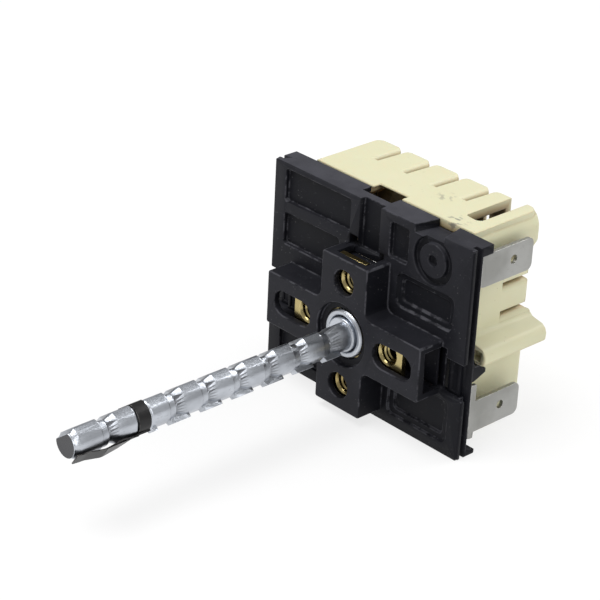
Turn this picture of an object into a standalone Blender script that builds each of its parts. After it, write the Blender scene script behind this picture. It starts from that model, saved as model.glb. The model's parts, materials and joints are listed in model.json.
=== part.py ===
"""Infinite switch for a cooker hotplate: push-to-turn shaft, cam, line and pilot contacts, cycling bimetal.

Units are metres and +Z is up. The switch stands on its lower edge. Everything is written in the
cover's own frame: X to the right, Y back from the front face of the cover plate, Z up from the
lower edge. One empty carries that frame to the middle of the whole switch.
"""

import math

import bmesh
import bpy
from mathutils import Matrix, Vector

MM = 0.001

# Step between faces that a join would otherwise lay on one another
INSET = 0.015 * MM

# Clearances
SEAT_GAP = 0.3 * MM
SLIDE_GAP = 0.1 * MM
HOLE_GAP = 0.2 * MM

# Places along the shaft, back from the face of the cover plate
DETENT_TRACK = (2.5 * MM, 4.6 * MM)
COVER_DEPTH = 5.3 * MM
BLADE_ROW = (5.8 * MM, 8.4 * MM)
LINE_TRACK = (6.0 * MM, 8.2 * MM)
PILOT_ROW = (8.85 * MM, 11.45 * MM)
PILOT_TRACK = (9.1 * MM, 11.2 * MM)
HEAT_TRACK = (11.9 * MM, 14.2 * MM)
LEVER_ROW = (12.0 * MM, 15.4 * MM)
BIMETAL_ROW = (11.7 * MM, 15.7 * MM)
BEARING_FRONT = 14.8 * MM
HOUSING_BACK = 21.9 * MM
ROW_Y = sum(BLADE_ROW) / 2
PILOT_Y = sum(PILOT_ROW) / 2
LEVER_Y = sum(LEVER_ROW) / 2

# Shaft
SHAFT_REACH = 67.7 * MM
SHAFT_RADIUS = 2.95 * MM
SHAFT_FLAT = 2.15 * MM
SHAFT_FLAT_ANGLE = math.radians(127.0)
SHAFT_SIDES = 28
FACET_ANGLE = math.radians(64.0)
FACET_DEPTH = 0.1 * MM
SHOULDER_RADIUS = SHAFT_RADIUS + 0.35 * MM
TIP_CHAMFER = 1.2 * MM
TIP_INSET = 0.75 * MM
CREST_COUNT = 8
CREST_PITCH = 7.12 * MM
FIRST_CREST_END = 5.8 * MM
CREST_LENGTH = 3.7 * MM
CREST_EDGE = 0.06 * MM
COLLAR_LENGTH = 1.3 * MM
COLLAR_INSET = 0.13 * MM
COLLAR_FLAT_INSET = 0.5 * MM
NECK_END = 1.9 * MM
NECK_INSET = 0.42 * MM
NECK_FLAT_INSET = 0.34 * MM
PAD_LENGTH = 4.5 * MM
PAD_WIDTH = 1.6 * MM
PAD_PROUD = 0.16 * MM
SHAFT_INNER_END = 17.4 * MM
SHAFT_INNER_RADIUS = SHAFT_RADIUS + 0.05 * MM
SHAFT_INNER_FLAT = SHAFT_INNER_RADIUS - 0.7 * MM
RING_GROOVE_RADIUS = SHAFT_RADIUS - 0.4 * MM

# Knob clip on the shaft
CLIP_CREST = 1
CLIP_THICKNESS = 0.4 * MM
CLIP_BAND_WIDTH = 2.9 * MM
CLIP_TONGUE_WIDTH = 2.2 * MM
CLIP_BUMP = SHAFT_RADIUS + 1.1 * MM
CLIP_BUMP_FROM_TIP = 5.6 * MM
CLIP_GAP = 0.08 * MM

# Bushing, retaining ring and return spring
BUSH_BORE = SHOULDER_RADIUS + SLIDE_GAP
BUSH_SLEEVE_RADIUS = BUSH_BORE + 0.8 * MM
BUSH_RIM_RADIUS = BUSH_BORE + 1.3 * MM
BUSH_FLANGE_RADIUS = BUSH_SLEEVE_RADIUS + 1.8 * MM
BUSH_FLANGE_FRONT = -2.5 * MM
BUSH_BACK = 1.9 * MM
RING_RADIUS = SHAFT_INNER_RADIUS + 2.0 * MM
RING_THICKNESS = 0.6 * MM
RING_FRONT = -1.6 * MM
SPRING_RADIUS = SHAFT_INNER_RADIUS + 1.3 * MM
SPRING_WIRE = 0.6 * MM
SPRING_TURNS = 4
SPRING_SEAT = 4.0 * MM

# Cam
CAM_BASE_RADIUS = 8.0 * MM
LOBE_LIFT = 1.0 * MM
CAM_RADIUS = CAM_BASE_RADIUS + LOBE_LIFT
CAM_SPRING_POCKET = SPRING_RADIUS + 1.0 * MM
CAM_HUB_RADIUS = CAM_SPRING_POCKET + 0.5 * MM
CAM_JOURNAL_RADIUS = SHAFT_INNER_RADIUS + 1.6 * MM
CAM_END = 17.2 * MM
HEAT_TRACK_LEAST = CAM_BASE_RADIUS + 0.3 * MM
HEAT_FALL = 0.8
OFF_TO_REST = math.radians(37.0)
OFF_LOBE_HALF = math.radians(10.0)
OFF_LOBE_RAMP = math.radians(11.0)
DETENT_NOTCH = 1.1 * MM
BEARING_WALL = 1.5 * MM

# Walls of the housing and of the cover
HOUSING_WALL = 1.6 * MM
HOUSING_TOP_WALL = 1.8 * MM
HOUSING_CORNER = 1.5 * MM
COVER_SKIN = 2.2 * MM
COVER_WALL = 1.2 * MM
COVER_SIDE_WALL = 1.5 * MM
FLANGE_OVERHANG = 2.6 * MM

# Contact blades, contacts and rivets
BLADE_THICKNESS = 0.4 * MM
LINE_NOSE = 2.0 * MM
PILOT_NOSE = 0.8 * MM
DETENT_NOSE = 1.5 * MM
CONTACT_RADIUS = 1.3 * MM
CONTACT_HEAD = 0.6 * MM
CONTACT_SEAT = 0.1 * MM
LINE_CONTACT_GAP = 1.5 * MM
PILOT_CONTACT_GAP = 1.4 * MM
CYCLING_CONTACT_GAP = 0.3 * MM
RIVET_RADIUS = 0.7 * MM
RIVET_HOLE = RIVET_RADIUS + 0.15 * MM
RIVET_HEAD_RADIUS = 1.3 * MM
RIVET_HEAD = 0.5 * MM

# Blade terminals
TAB_WIDTH = 6.35 * MM
TAB_THICKNESS = 0.8 * MM
TAB_END = 17.5 * MM
TAB_ROUND = 1.2 * MM
TAB_HOLE_RADIUS = 0.85 * MM
TAB_HOLE_BACK = 4.9 * MM
TAB_LOW_CENTRE = 6.35 * MM
TAB_FOOT_LOW = 1.9 * MM
TAB_FOOT_HIGH = 12.9 * MM
LEG_FRONT = COVER_DEPTH - TAB_THICKNESS

# The works, from the floor of the housing up
PILOT_Z = HOUSING_WALL + 4.7 * MM
AXIS_HEIGHT = PILOT_Z + BLADE_THICKNESS + PILOT_NOSE + SEAT_GAP + CAM_RADIUS
DETENT_Z = AXIS_HEIGHT + CAM_RADIUS + SEAT_GAP + DETENT_NOSE
LINE_RIVET_Z = HOUSING_WALL + 4.4 * MM
LINE_CONTACT_Z = DETENT_Z + 3.8 * MM
CYCLING_RIVET_Z = AXIS_HEIGHT + 3.8 * MM
CYCLING_CONTACT_Z = DETENT_Z + 5.4 * MM
TRANSFER_Z = CYCLING_CONTACT_Z + 4.0 * MM
PIVOT_Z = HOUSING_WALL + 4.6 * MM
BIMETAL_RIVET_Z = PIVOT_Z + 3.2 * MM
CALIBRATION_Z = PIVOT_Z + 6.2 * MM
BIMETAL_Z = (PIVOT_Z + 1.8 * MM, TRANSFER_Z + 1.4 * MM)
SLEEVE_Z = (CALIBRATION_Z + 3.8 * MM, TRANSFER_Z - 4.4 * MM)
PLATE_HEIGHT = BIMETAL_Z[1] + 1.2 * MM + HOUSING_TOP_WALL
TAB_HIGH_CENTRE = PLATE_HEIGHT - 5.9 * MM
TAB_MID_CENTRE = AXIS_HEIGHT + 8.8 * MM

# The works, from the shaft's axis out
BLADE_X = CAM_RADIUS + SEAT_GAP + LINE_NOSE
INNER_X = BLADE_X + BLADE_THICKNESS + SEAT_GAP
CONTACT_REACH = CONTACT_SEAT + CONTACT_HEAD
LINE_TAB_X = BLADE_X - 2 * CONTACT_REACH - LINE_CONTACT_GAP - TAB_THICKNESS
CYCLING_TAB_X = BLADE_X + BLADE_THICKNESS + 2 * CONTACT_REACH + CYCLING_CONTACT_GAP
PILOT_CONTACT_X = INNER_X + 2.0 * MM
PILOT_EAR_Z = PILOT_Z + BLADE_THICKNESS + 2 * CONTACT_REACH + PILOT_CONTACT_GAP
PIVOT_X = -(INNER_X + TAB_THICKNESS + 2.4 * MM)
PILOT_ROOT_X = PIVOT_X + 1.0 * MM
DETENT_CLAMP = (PIVOT_X + 0.8 * MM, PIVOT_X + 4.6 * MM)
DETENT_CLAMP_GAP = 0.15 * MM
PIN_RADIUS = 1.0 * MM
BIMETAL_THICKNESS = 0.6 * MM
BIMETAL_X = (PIVOT_X + 0.1 * MM - BIMETAL_THICKNESS, PIVOT_X + 0.1 * MM)
SLEEVE_WALL = 0.4 * MM
SLEEVE_GAP = 0.15 * MM
HEATER_TURNS = 8
HEATER_WIRE = 0.35 * MM
CAVITY_HALF = 3.2 * MM - PIVOT_X
HOUSING_HALF = CAVITY_HALF + HOUSING_WALL
FLANGE_HALF = HOUSING_HALF + 2.4 * MM
PLATE_HALF = FLANGE_HALF + FLANGE_OVERHANG
TAB_OUT = FLANGE_HALF + 1.0 * MM
LEG_JOIN = (CAVITY_HALF - 1.9 * MM, CAVITY_HALF - 0.2 * MM)
LEG_OPENINGS = (
    (1, TAB_HIGH_CENTRE - TAB_WIDTH / 2, TAB_HIGH_CENTRE + TAB_WIDTH / 2),
    (1, TAB_FOOT_LOW, TAB_FOOT_HIGH),
    (-1, TAB_HIGH_CENTRE - TAB_WIDTH / 2, TAB_HIGH_CENTRE + TAB_WIDTH / 2),
    (-1, TAB_MID_CENTRE - TAB_WIDTH / 2, TAB_MID_CENTRE + TAB_WIDTH / 2),
    (-1, TAB_FOOT_LOW, TAB_FOOT_HIGH),
)

# Edges of the cover plate
FRONT_FLANGE = 1.0 * MM
SIDE_GROOVE_WIDTH = 1.0 * MM
SIDE_GROOVE_DEPTH = 1.2 * MM
REAR_FLANGE = 0.7 * MM
TOP_LUG_HEIGHT = 1.9 * MM
FOOT_HEIGHT = 1.0 * MM
FOOT_DEPTH = COVER_DEPTH - 0.6 * MM
PLATE_EDGE_ROUND = 0.35 * MM

# Cross boss round the shaft
BOSS_HEIGHT = 5.7 * MM
BOSS_REACH_X = 19.75 * MM
BOSS_REACH_Z = 15.0 * MM
BOSS_TOP = AXIS_HEIGHT + BOSS_REACH_Z
SIDE_ARM_HALF = 5.35 * MM
TALL_ARM_HALF = 5.75 * MM
BOSS_FILLET = 1.5 * MM
BOSS_EDGE = 0.4 * MM
BOSS_FACE_WALL = 1.4 * MM
BOSS_INNER_HALF = SIDE_ARM_HALF - BOSS_FACE_WALL + 0.1 * MM
HUB_SINK_RADIUS = 6.15 * MM
HUB_SINK_DEPTH = 1.0 * MM
HUB_HOLE_RADIUS = BUSH_RIM_RADIUS + HOLE_GAP
SCREW_HOLE_RADIUS = 2.5 * MM
SCREW_CIRCLE = 10.4 * MM
SLOT_CENTRE = 13.0 * MM
SLOT_LENGTH = 9.8 * MM
SLOT_WIDTH = 4.9 * MM
ARM_MOUTH = (-3.7 * MM, 4.0 * MM)

# Moulded recesses in the cover's face
RECESS_DEPTH = 0.9 * MM
CHANNEL_DEPTH = 1.2 * MM
CHANNEL_HALF = 2.6 * MM
RECESS_ROUND = 0.6 * MM
EDGE_BAR_DEPTH = 3.0 * MM
TOP_WINDOW_X = (-5.2 * MM, 2.1 * MM)
TOP_WINDOW_BACK = 7.3 * MM
TOP_WINDOW_LIP = 0.5 * MM
TOP_WINDOW_UNDERCUT = 3.2 * MM
NOTCH_DROP = 1.6 * MM
NOTCH_FLOOR = 0.9 * MM
DIMPLE_X = FLANGE_HALF - 6.7 * MM
DIMPLE_Z = PLATE_HEIGHT - 5.4 * MM
DIMPLE_RADIUS = 4.6 * MM
DIMPLE_BOSS_RADIUS = 3.2 * MM
DIMPLE_HOLE_RADIUS = 1.0 * MM

# Snap fingers of the cover, and the windows that mould them
FINGER_LOW = AXIS_HEIGHT - 3.5 * MM
FINGER_HIGH = AXIS_HEIGHT + 0.8 * MM
FINGER_REACH = 8.6 * MM
FINGER_THICKNESS = 2.0 * MM
FINGER_PROUD = 0.4 * MM
FINGER_HOOK = 0.8 * MM
FINGER_HOOK_LENGTH = 1.0 * MM
SNAP_WINDOW_LOW = AXIS_HEIGHT - 4.9 * MM
SNAP_WINDOW_HIGH = AXIS_HEIGHT + 2.3 * MM

# Tapped mounting plate behind the boss
STRAP_FRONT = -BOSS_HEIGHT + BOSS_FACE_WALL + SEAT_GAP
STRAP_THICKNESS = 1.2 * MM
STRAP_REACH_X = 14.0 * MM
STRAP_REACH_Z = BOSS_REACH_Z - BOSS_FACE_WALL - 0.4 * MM
STRAP_HALF = BOSS_INNER_HALF - 0.45 * MM
STRAP_EAR_X = (-3.2 * MM, 3.4 * MM)
TAP_RADIUS = 1.85 * MM
TAP_COLLAR_RADIUS = 2.7 * MM
TAP_COLLAR_LENGTH = 1.4 * MM
TAP_SINK = 0.45 * MM

# Combs, rib and ledges of the rear housing
COMB_COUNT = 4
COMB_FIRST = 6.85 * MM - HOUSING_HALF
COMB_SLOT = 1.3 * MM
SIDE_COMB_SLOT = 1.0 * MM
COMB_DEPTH = 7.7 * MM
COMB_DROP = 6.4 * MM
COMB_ROUND = 0.9 * MM
WIDE_SLOT_RIGHT = HOUSING_HALF - 2.8 * MM
WIDE_SLOT_LEFT = WIDE_SLOT_RIGHT - 3.4 * MM
WIDE_SLOT_DEPTH = 12.1 * MM
COMB_PITCH = (WIDE_SLOT_LEFT - 4.45 * MM - COMB_FIRST) / (COMB_COUNT - 1)
SIDE_COMB_LOW = AXIS_HEIGHT + 6.0 * MM
SIDE_COMB_PITCH = 5.75 * MM
SIDE_COMB_COUNT = 3
RIB_OVERHANG = 0.7 * MM
RIB_ROUND = 3.2 * MM
RIB_LOW = PLATE_HEIGHT - 7.0 * MM
LEDGE_OVERHANG = 0.4 * MM
LEDGE_LOW = AXIS_HEIGHT - 0.1 * MM
CORNER_NOTCH_WIDTH = 3.2 * MM
CORNER_NOTCH_HEIGHT = 2.7 * MM


AXIS_PLACE = Vector((0.0, 0.0, AXIS_HEIGHT))
FRAME_Y = (SHAFT_REACH - HOUSING_BACK - LEDGE_OVERHANG) / 2


def fresh_scene():
    """Clear the scene, and add the collections for the parts and for the cutters."""
    for old in list(bpy.data.objects):
        bpy.data.objects.remove(old, do_unlink=True)
    parts = bpy.data.collections.new("infinite_switch")
    cutters = bpy.data.collections.new("infinite_switch_cutters")
    for group in (parts, cutters):
        bpy.context.scene.collection.children.link(group)
    return parts, cutters


PARTS, CUTTERS = fresh_scene()


def empty_at(name, place, parent=None):
    """An axis or a frame, as an empty at a place of its parent's frame."""
    empty = bpy.data.objects.new(name, None)
    empty.empty_display_size = 4 * MM
    empty.location = place
    empty.parent = parent
    PARTS.objects.link(empty)
    return empty


SWITCH_FRAME = empty_at("switch_frame", (0.0, FRAME_Y, 0.0))


def finish(name, colour, roughness, metallic=0.0):
    """A plain material with one Principled BSDF."""
    material = bpy.data.materials.new(name)
    material.use_nodes = True
    shader = material.node_tree.nodes["Principled BSDF"]
    shader.inputs["Base Color"].default_value = (*colour, 1.0)
    shader.inputs["Roughness"].default_value = roughness
    shader.inputs["Metallic"].default_value = metallic
    return material


BLACK_PLASTIC = finish("black_phenolic", (0.022, 0.023, 0.027), 0.55)
IVORY_PLASTIC = finish("ivory_phenolic", (0.78, 0.74, 0.56), 0.5)
CAM_PLASTIC = finish("cam_nylon", (0.55, 0.10, 0.07), 0.45)
BRASS = finish("brass_strap", (0.66, 0.54, 0.22), 0.3, 1.0)
SPRING_BRASS = finish("phosphor_bronze", (0.72, 0.47, 0.24), 0.35, 1.0)
TINNED = finish("tinned_brass", (0.62, 0.62, 0.60), 0.45, 1.0)
CAST_ZINC = finish("cast_shaft_metal", (0.72, 0.73, 0.75), 0.35, 1.0)
PLATED_STEEL = finish("plated_steel", (0.70, 0.70, 0.70), 0.3, 1.0)
BLACK_STEEL = finish("black_spring_steel", (0.03, 0.03, 0.03), 0.4, 1.0)
SILVER = finish("silver_contact", (0.86, 0.86, 0.84), 0.25, 1.0)
BIMETAL = finish("bimetal", (0.60, 0.58, 0.55), 0.4, 1.0)
HEATER_METAL = finish("heater_alloy", (0.32, 0.30, 0.29), 0.5, 1.0)
MICA = finish("mica_sleeve", (0.56, 0.50, 0.38), 0.6)


def as_object(name, mesh, group):
    thing = bpy.data.objects.new(name, mesh)
    group.objects.link(thing)
    return thing


def cutter(thing):
    """Hide a helper from the render and show it as a wire."""
    for group in list(thing.users_collection):
        group.objects.unlink(thing)
    CUTTERS.objects.link(thing)
    thing.hide_render = True
    thing.display_type = "WIRE"
    return thing


def box(name, x, y, z):
    """A block between the two ends given for each axis."""
    work = bmesh.new()
    bmesh.ops.create_cube(work, size=1.0)
    size = Vector((x[1] - x[0], y[1] - y[0], z[1] - z[0]))
    middle = Vector((x[0] + x[1], y[0] + y[1], z[0] + z[1])) / 2
    place = Matrix.Translation(middle) @ Matrix.Diagonal((*size, 1.0))
    bmesh.ops.transform(work, matrix=place, verts=work.verts)
    mesh = bpy.data.meshes.new(name)
    work.to_mesh(mesh)
    work.free()
    return as_object(name, mesh, PARTS)


TURN_TO = {
    "X": Matrix.Rotation(math.pi / 2, 4, "Y"),
    "Y": Matrix.Rotation(-math.pi / 2, 4, "X"),
    "Z": Matrix.Identity(4),
}


def rod(name, radius, axis, start, length, end_radius=None, sides=32):
    """A cylinder, or a cone where end_radius is given, from start along an axis. length may be negative."""
    work = bmesh.new()
    ends = [radius, radius if end_radius is None else end_radius]
    if length < 0:
        ends.reverse()
    bmesh.ops.create_cone(work, cap_ends=True, segments=sides, radius1=ends[0], radius2=ends[1], depth=abs(length))
    step = {"X": (length / 2, 0, 0), "Y": (0, length / 2, 0), "Z": (0, 0, length / 2)}[axis]
    place = Matrix.Translation(Vector(start) + Vector(step))
    bmesh.ops.transform(work, matrix=place @ TURN_TO[axis], verts=work.verts)
    mesh = bpy.data.meshes.new(name)
    work.to_mesh(mesh)
    work.free()
    return as_object(name, mesh, PARTS)


OUTLINE_FRAMES = {
    "Z": Matrix(((1, 0, 0, 0), (0, 1, 0, 0), (0, 0, 1, 0), (0, 0, 0, 1))),
    "Y": Matrix(((1, 0, 0, 0), (0, 0, 1, 0), (0, 1, 0, 0), (0, 0, 0, 1))),
    "X": Matrix(((0, 0, 1, 0), (1, 0, 0, 0), (0, 1, 0, 0), (0, 0, 0, 1))),
}


def made_mesh(thing):
    """Turn a curve object into a closed mesh object of the same name."""
    graph = bpy.context.evaluated_depsgraph_get()
    mesh = bpy.data.meshes.new_from_object(thing.evaluated_get(graph))
    name, place = thing.name, thing.matrix_world.copy()
    bpy.data.objects.remove(thing, do_unlink=True)
    work = bmesh.new()
    work.from_mesh(mesh)
    bmesh.ops.remove_doubles(work, verts=work.verts, dist=1e-7)
    bmesh.ops.recalc_face_normals(work, faces=work.faces)
    work.to_mesh(mesh)
    work.free()
    mesh.transform(place)
    mesh.name = name
    return as_object(name, mesh, PARTS)


def outline(name, points, axis, low, high):
    """A flat outline made solid from low to high along an axis.

    The points are (x, y) for Z, (x, z) for Y and (y, z) for X.
    """
    work = bmesh.new()
    near = [work.verts.new((u, v, low)) for u, v in points]
    far = [work.verts.new((u, v, high)) for u, v in points]
    work.faces.new(near)
    work.faces.new(far)
    for index in range(len(points)):
        after = (index + 1) % len(points)
        work.faces.new((near[index], near[after], far[after], far[index]))
    bmesh.ops.transform(work, matrix=OUTLINE_FRAMES[axis], verts=work.verts)
    bmesh.ops.recalc_face_normals(work, faces=work.faces)
    mesh = bpy.data.meshes.new(name)
    work.to_mesh(mesh)
    work.free()
    return as_object(name, mesh, PARTS)


def rounded(points, radius, steps=4):
    """The outline with each corner made an arc. radius is one value, or one for each corner."""
    count = len(points)
    radii = [radius] * count if isinstance(radius, float) else radius
    result = []
    for index, corner in enumerate(points):
        here = Vector(corner)
        before = (Vector(points[index - 1]) - here).normalized()
        after = (Vector(points[(index + 1) % count]) - here).normalized()
        if radii[index] <= 0:
            result.append(tuple(here))
            continue
        half = before.angle(after) / 2
        back = radii[index] / math.tan(half)
        centre = here + (before + after).normalized() * radii[index] / math.sin(half)
        start = here + before * back - centre
        turn = start.angle_signed(here + after * back - centre)
        for step in range(steps + 1):
            angle = -turn * step / steps
            result.append(tuple(centre + Matrix.Rotation(angle, 2) @ start))
    return result


def oblong(x, z, radius):
    """Corner points of a rectangle between two ends in each direction, made round."""
    return rounded([(x[0], z[0]), (x[1], z[0]), (x[1], z[1]), (x[0], z[1])], radius)


def turned(name, profile, sides=40):
    """A turned shape about the shaft's axis. The profile is (radius, y) down its outer side, closed."""
    mesh = bpy.data.meshes.new(name)
    work = bmesh.new()
    dots = [work.verts.new((radius, 0.0, y)) for radius, y in profile]
    for first, second in zip(dots, dots[1:] + dots[:1]):
        work.edges.new((first, second))
    work.to_mesh(mesh)
    work.free()
    thing = as_object(name, mesh, PARTS)
    screw = thing.modifiers.new("turn", "SCREW")
    screw.steps = sides
    screw.render_steps = sides
    screw.use_merge_vertices = True
    screw.merge_threshold = 1e-7
    graph = bpy.context.evaluated_depsgraph_get()
    solid = bpy.data.meshes.new_from_object(thing.evaluated_get(graph))
    bpy.data.objects.remove(thing, do_unlink=True)
    work = bmesh.new()
    work.from_mesh(solid)
    bmesh.ops.remove_doubles(work, verts=work.verts, dist=1e-7)
    bmesh.ops.recalc_face_normals(work, faces=work.faces)
    bmesh.ops.transform(work, matrix=Matrix.Translation(AXIS_PLACE) @ TURN_TO["Y"], verts=work.verts)
    work.to_mesh(solid)
    work.free()
    solid.name = name
    return as_object(name, solid, PARTS)


def loft(name, rings):
    """A solid through closed rings of as many points each, capped at both ends."""
    work = bmesh.new()
    rows = [[work.verts.new(point) for point in ring] for ring in rings]
    for row, following in zip(rows, rows[1:]):
        for index in range(len(row)):
            after = (index + 1) % len(row)
            work.faces.new((row[index], row[after], following[after], following[index]))
    work.faces.new(rows[0])
    work.faces.new(rows[-1])
    bmesh.ops.recalc_face_normals(work, faces=work.faces)
    mesh = bpy.data.meshes.new(name)
    work.to_mesh(mesh)
    work.free()
    return as_object(name, mesh, PARTS)


def wire(name, points, radius, roundness=1):
    """A round wire through a list of points, with flat ends."""
    curve = bpy.data.curves.new(name, "CURVE")
    curve.dimensions = "3D"
    curve.bevel_depth = radius
    curve.bevel_resolution = roundness
    curve.use_fill_caps = True
    spline = curve.splines.new("POLY")
    spline.points.add(len(points) - 1)
    for dot, point in zip(spline.points, points):
        dot.co = (*point, 1.0)
    thing = as_object(name, curve, PARTS)
    bpy.context.view_layer.update()
    return made_mesh(thing)


def combine(thing, others, operation):
    """Cut others from a thing, or join them to it, one Boolean each."""
    for index, other in enumerate(others):
        change = thing.modifiers.new(f"{operation.lower()}_{index}", "BOOLEAN")
        change.operation = operation
        change.solver = "EXACT"
        change.object = cutter(other)
    return thing


def cut(thing, *others):
    return combine(thing, others, "DIFFERENCE")


def join(thing, *others):
    return combine(thing, others, "UNION")


def helpers(thing):
    """The cutters that a thing's Booleans use, and those of its cutters."""
    found = []
    for change in thing.modifiers:
        if change.type == "BOOLEAN":
            found.append(change.object)
            found.extend(helpers(change.object))
    return found


def settle(thing, name, material, carrier=SWITCH_FRAME):
    """Name a part, give it its material and hang it and its cutters on their carrier."""
    thing.name = name
    thing.data.name = name
    thing.data.materials.clear()
    thing.data.materials.append(material)
    thing.data.set_sharp_from_angle(angle=math.radians(30))
    for member in (thing, *helpers(thing)):
        if carrier is not SWITCH_FRAME:
            member.data.transform(Matrix.Translation(-carrier.location))
        member.parent = carrier
    return thing


def turned_by(thing, angle):
    """The same shape turned about the shaft's axis, anticlockwise as seen from the front."""
    about = Matrix.Translation(AXIS_PLACE)
    thing.data.transform(about @ Matrix.Rotation(-angle, 4, "Y") @ about.inverted())
    return thing


def cross(reach_x, reach_z, half_z, half_x, fillet, edge=0.0):
    """A cross about the shaft's axis: half_z is half the side arms' height, half_x half the tall arm's width.

    Opposite arms differ by a hair, so that no two edges lie on one line.
    """
    less_z, less_x = half_z - INSET, half_x - INSET
    corners = [
        (reach_x, -half_z), (reach_x, half_z), (half_x, half_z), (half_x, reach_z),
        (-half_x, reach_z), (-half_x, less_z), (-reach_x, less_z), (-reach_x, -less_z),
        (-less_x, -less_z), (-less_x, -reach_z), (less_x, -reach_z), (less_x, -half_z),
    ]
    radii = [edge, edge, fillet, edge, edge, fillet] * 2
    return [(x, z + AXIS_HEIGHT) for x, z in rounded(corners, radii, 3)]


def on_side(side, near, far):
    """The span between two distances from the middle, on the right (1) or on the left (-1)."""
    return tuple(sorted((side * near, side * far)))


def bored(name, radius, y, z, x=0.0, depth=5 * MM, sides=32):
    """A round cutter along the shaft's direction, from a place back to a depth."""
    return rod(name, radius, "Y", (x, y, z), depth, sides=sides)


def recess(x, z, depth, radius=RECESS_ROUND):
    return outline("recess", oblong(x, z, radius), "Y", -0.6 * MM, depth)


def cover_plate():
    """The flanged plate with its rear body, top lugs, foot and cross boss, hollow behind."""
    plate = oblong((-PLATE_HALF, PLATE_HALF), (0.0, PLATE_HEIGHT), PLATE_EDGE_ROUND)
    cover = outline("front_cover", plate, "Y", 0.0, FRONT_FLANGE + SIDE_GROOVE_WIDTH + REAR_FLANGE)
    body = box(
        "cover_body", (-FLANGE_HALF, FLANGE_HALF), (FRONT_FLANGE / 2, COVER_DEPTH), (INSET, PLATE_HEIGHT - INSET)
    )
    edge_x = (-PLATE_HALF + INSET, PLATE_HALF - INSET)
    lug_back = COVER_DEPTH - INSET
    lugs = box(
        "top_lugs", edge_x, (FRONT_FLANGE / 2, lug_back), (PLATE_HEIGHT - TOP_LUG_HEIGHT, PLATE_HEIGHT - 2 * INSET)
    )
    foot_side = rounded([
        (FRONT_FLANGE / 2, 2 * INSET), (FOOT_DEPTH, 2 * INSET), (FOOT_DEPTH, FOOT_HEIGHT),
        (FRONT_FLANGE / 2, FOOT_HEIGHT),
    ], [0.0, 0.3 * MM, 0.3 * MM, 0.0])
    foot = outline("foot", foot_side, "X", *edge_x)
    plan = cross(BOSS_REACH_X, BOSS_REACH_Z, SIDE_ARM_HALF, TALL_ARM_HALF, BOSS_FILLET, BOSS_EDGE)
    boss = outline("boss", plan, "Y", -BOSS_HEIGHT, FRONT_FLANGE)
    join(cover, body, lugs, foot, boss)

    cavity_half = FLANGE_HALF - COVER_SIDE_WALL
    cavity = box(
        "cover_cavity", (-cavity_half, cavity_half), (COVER_SKIN, COVER_DEPTH + 2 * MM),
        (COVER_WALL, PLATE_HEIGHT - COVER_WALL),
    )
    inner = cross(
        BOSS_REACH_X - BOSS_FACE_WALL, BOSS_REACH_Z - BOSS_FACE_WALL, BOSS_INNER_HALF,
        TALL_ARM_HALF - BOSS_FACE_WALL, BOSS_FILLET,
    )
    hollow_front = -BOSS_HEIGHT + BOSS_FACE_WALL
    hollow = outline("boss_hollow", inner, "Y", hollow_front, COVER_SKIN + 0.5 * MM)
    open_ends = [
        box(
            "arm_end", on_side(side, BOSS_REACH_X - BOSS_FACE_WALL - 0.5 * MM, BOSS_REACH_X + 1 * MM),
            (hollow_front + INSET, FRONT_FLANGE),
            (AXIS_HEIGHT - BOSS_INNER_HALF + 2 * INSET, AXIS_HEIGHT + BOSS_INNER_HALF - 2 * INSET),
        )
        for side in (1, -1)
    ]
    groove_y = (FRONT_FLANGE, FRONT_FLANGE + SIDE_GROOVE_WIDTH)
    grooves = [
        box(
            "side_groove", on_side(side, PLATE_HALF - SIDE_GROOVE_DEPTH, PLATE_HALF + 1 * MM), groove_y,
            (-1 * MM, PLATE_HEIGHT + 1 * MM),
        )
        for side in (1, -1)
    ]
    return cut(cover, cavity, hollow, *open_ends, *grooves)


def snap_finger(side):
    """One snap finger with its hook, on the right (1) or on the left (-1)."""
    root, reach, low = COVER_SKIN + 0.3 * MM, FINGER_REACH, FINGER_LOW
    profile = [
        (root, low), (reach - 3.2 * MM, low), (reach - 1.9 * MM, low + 0.25 * MM), (reach, low + 1.0 * MM),
        (reach, low + 1.8 * MM), (reach - 0.9 * MM, low + 2.0 * MM), (reach - 1.1 * MM, low + 2.9 * MM),
        (COVER_DEPTH + 0.4 * MM, low + 3.0 * MM), (COVER_DEPTH + 0.1 * MM, FINGER_HIGH), (root, FINGER_HIGH),
    ]
    outer = FLANGE_HALF + FINGER_PROUD
    arm = outline("snap_finger", profile, "X", *on_side(side, outer - FINGER_THICKNESS, outer))
    hook = box(
        "snap_hook", on_side(side, outer - FINGER_THICKNESS - FINGER_HOOK, outer - FINGER_THICKNESS + 0.3 * MM),
        (reach - FINGER_HOOK_LENGTH, reach - 0.1 * MM), (low + 1.0 * MM, low + 1.75 * MM),
    )
    return [arm, hook]


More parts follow.
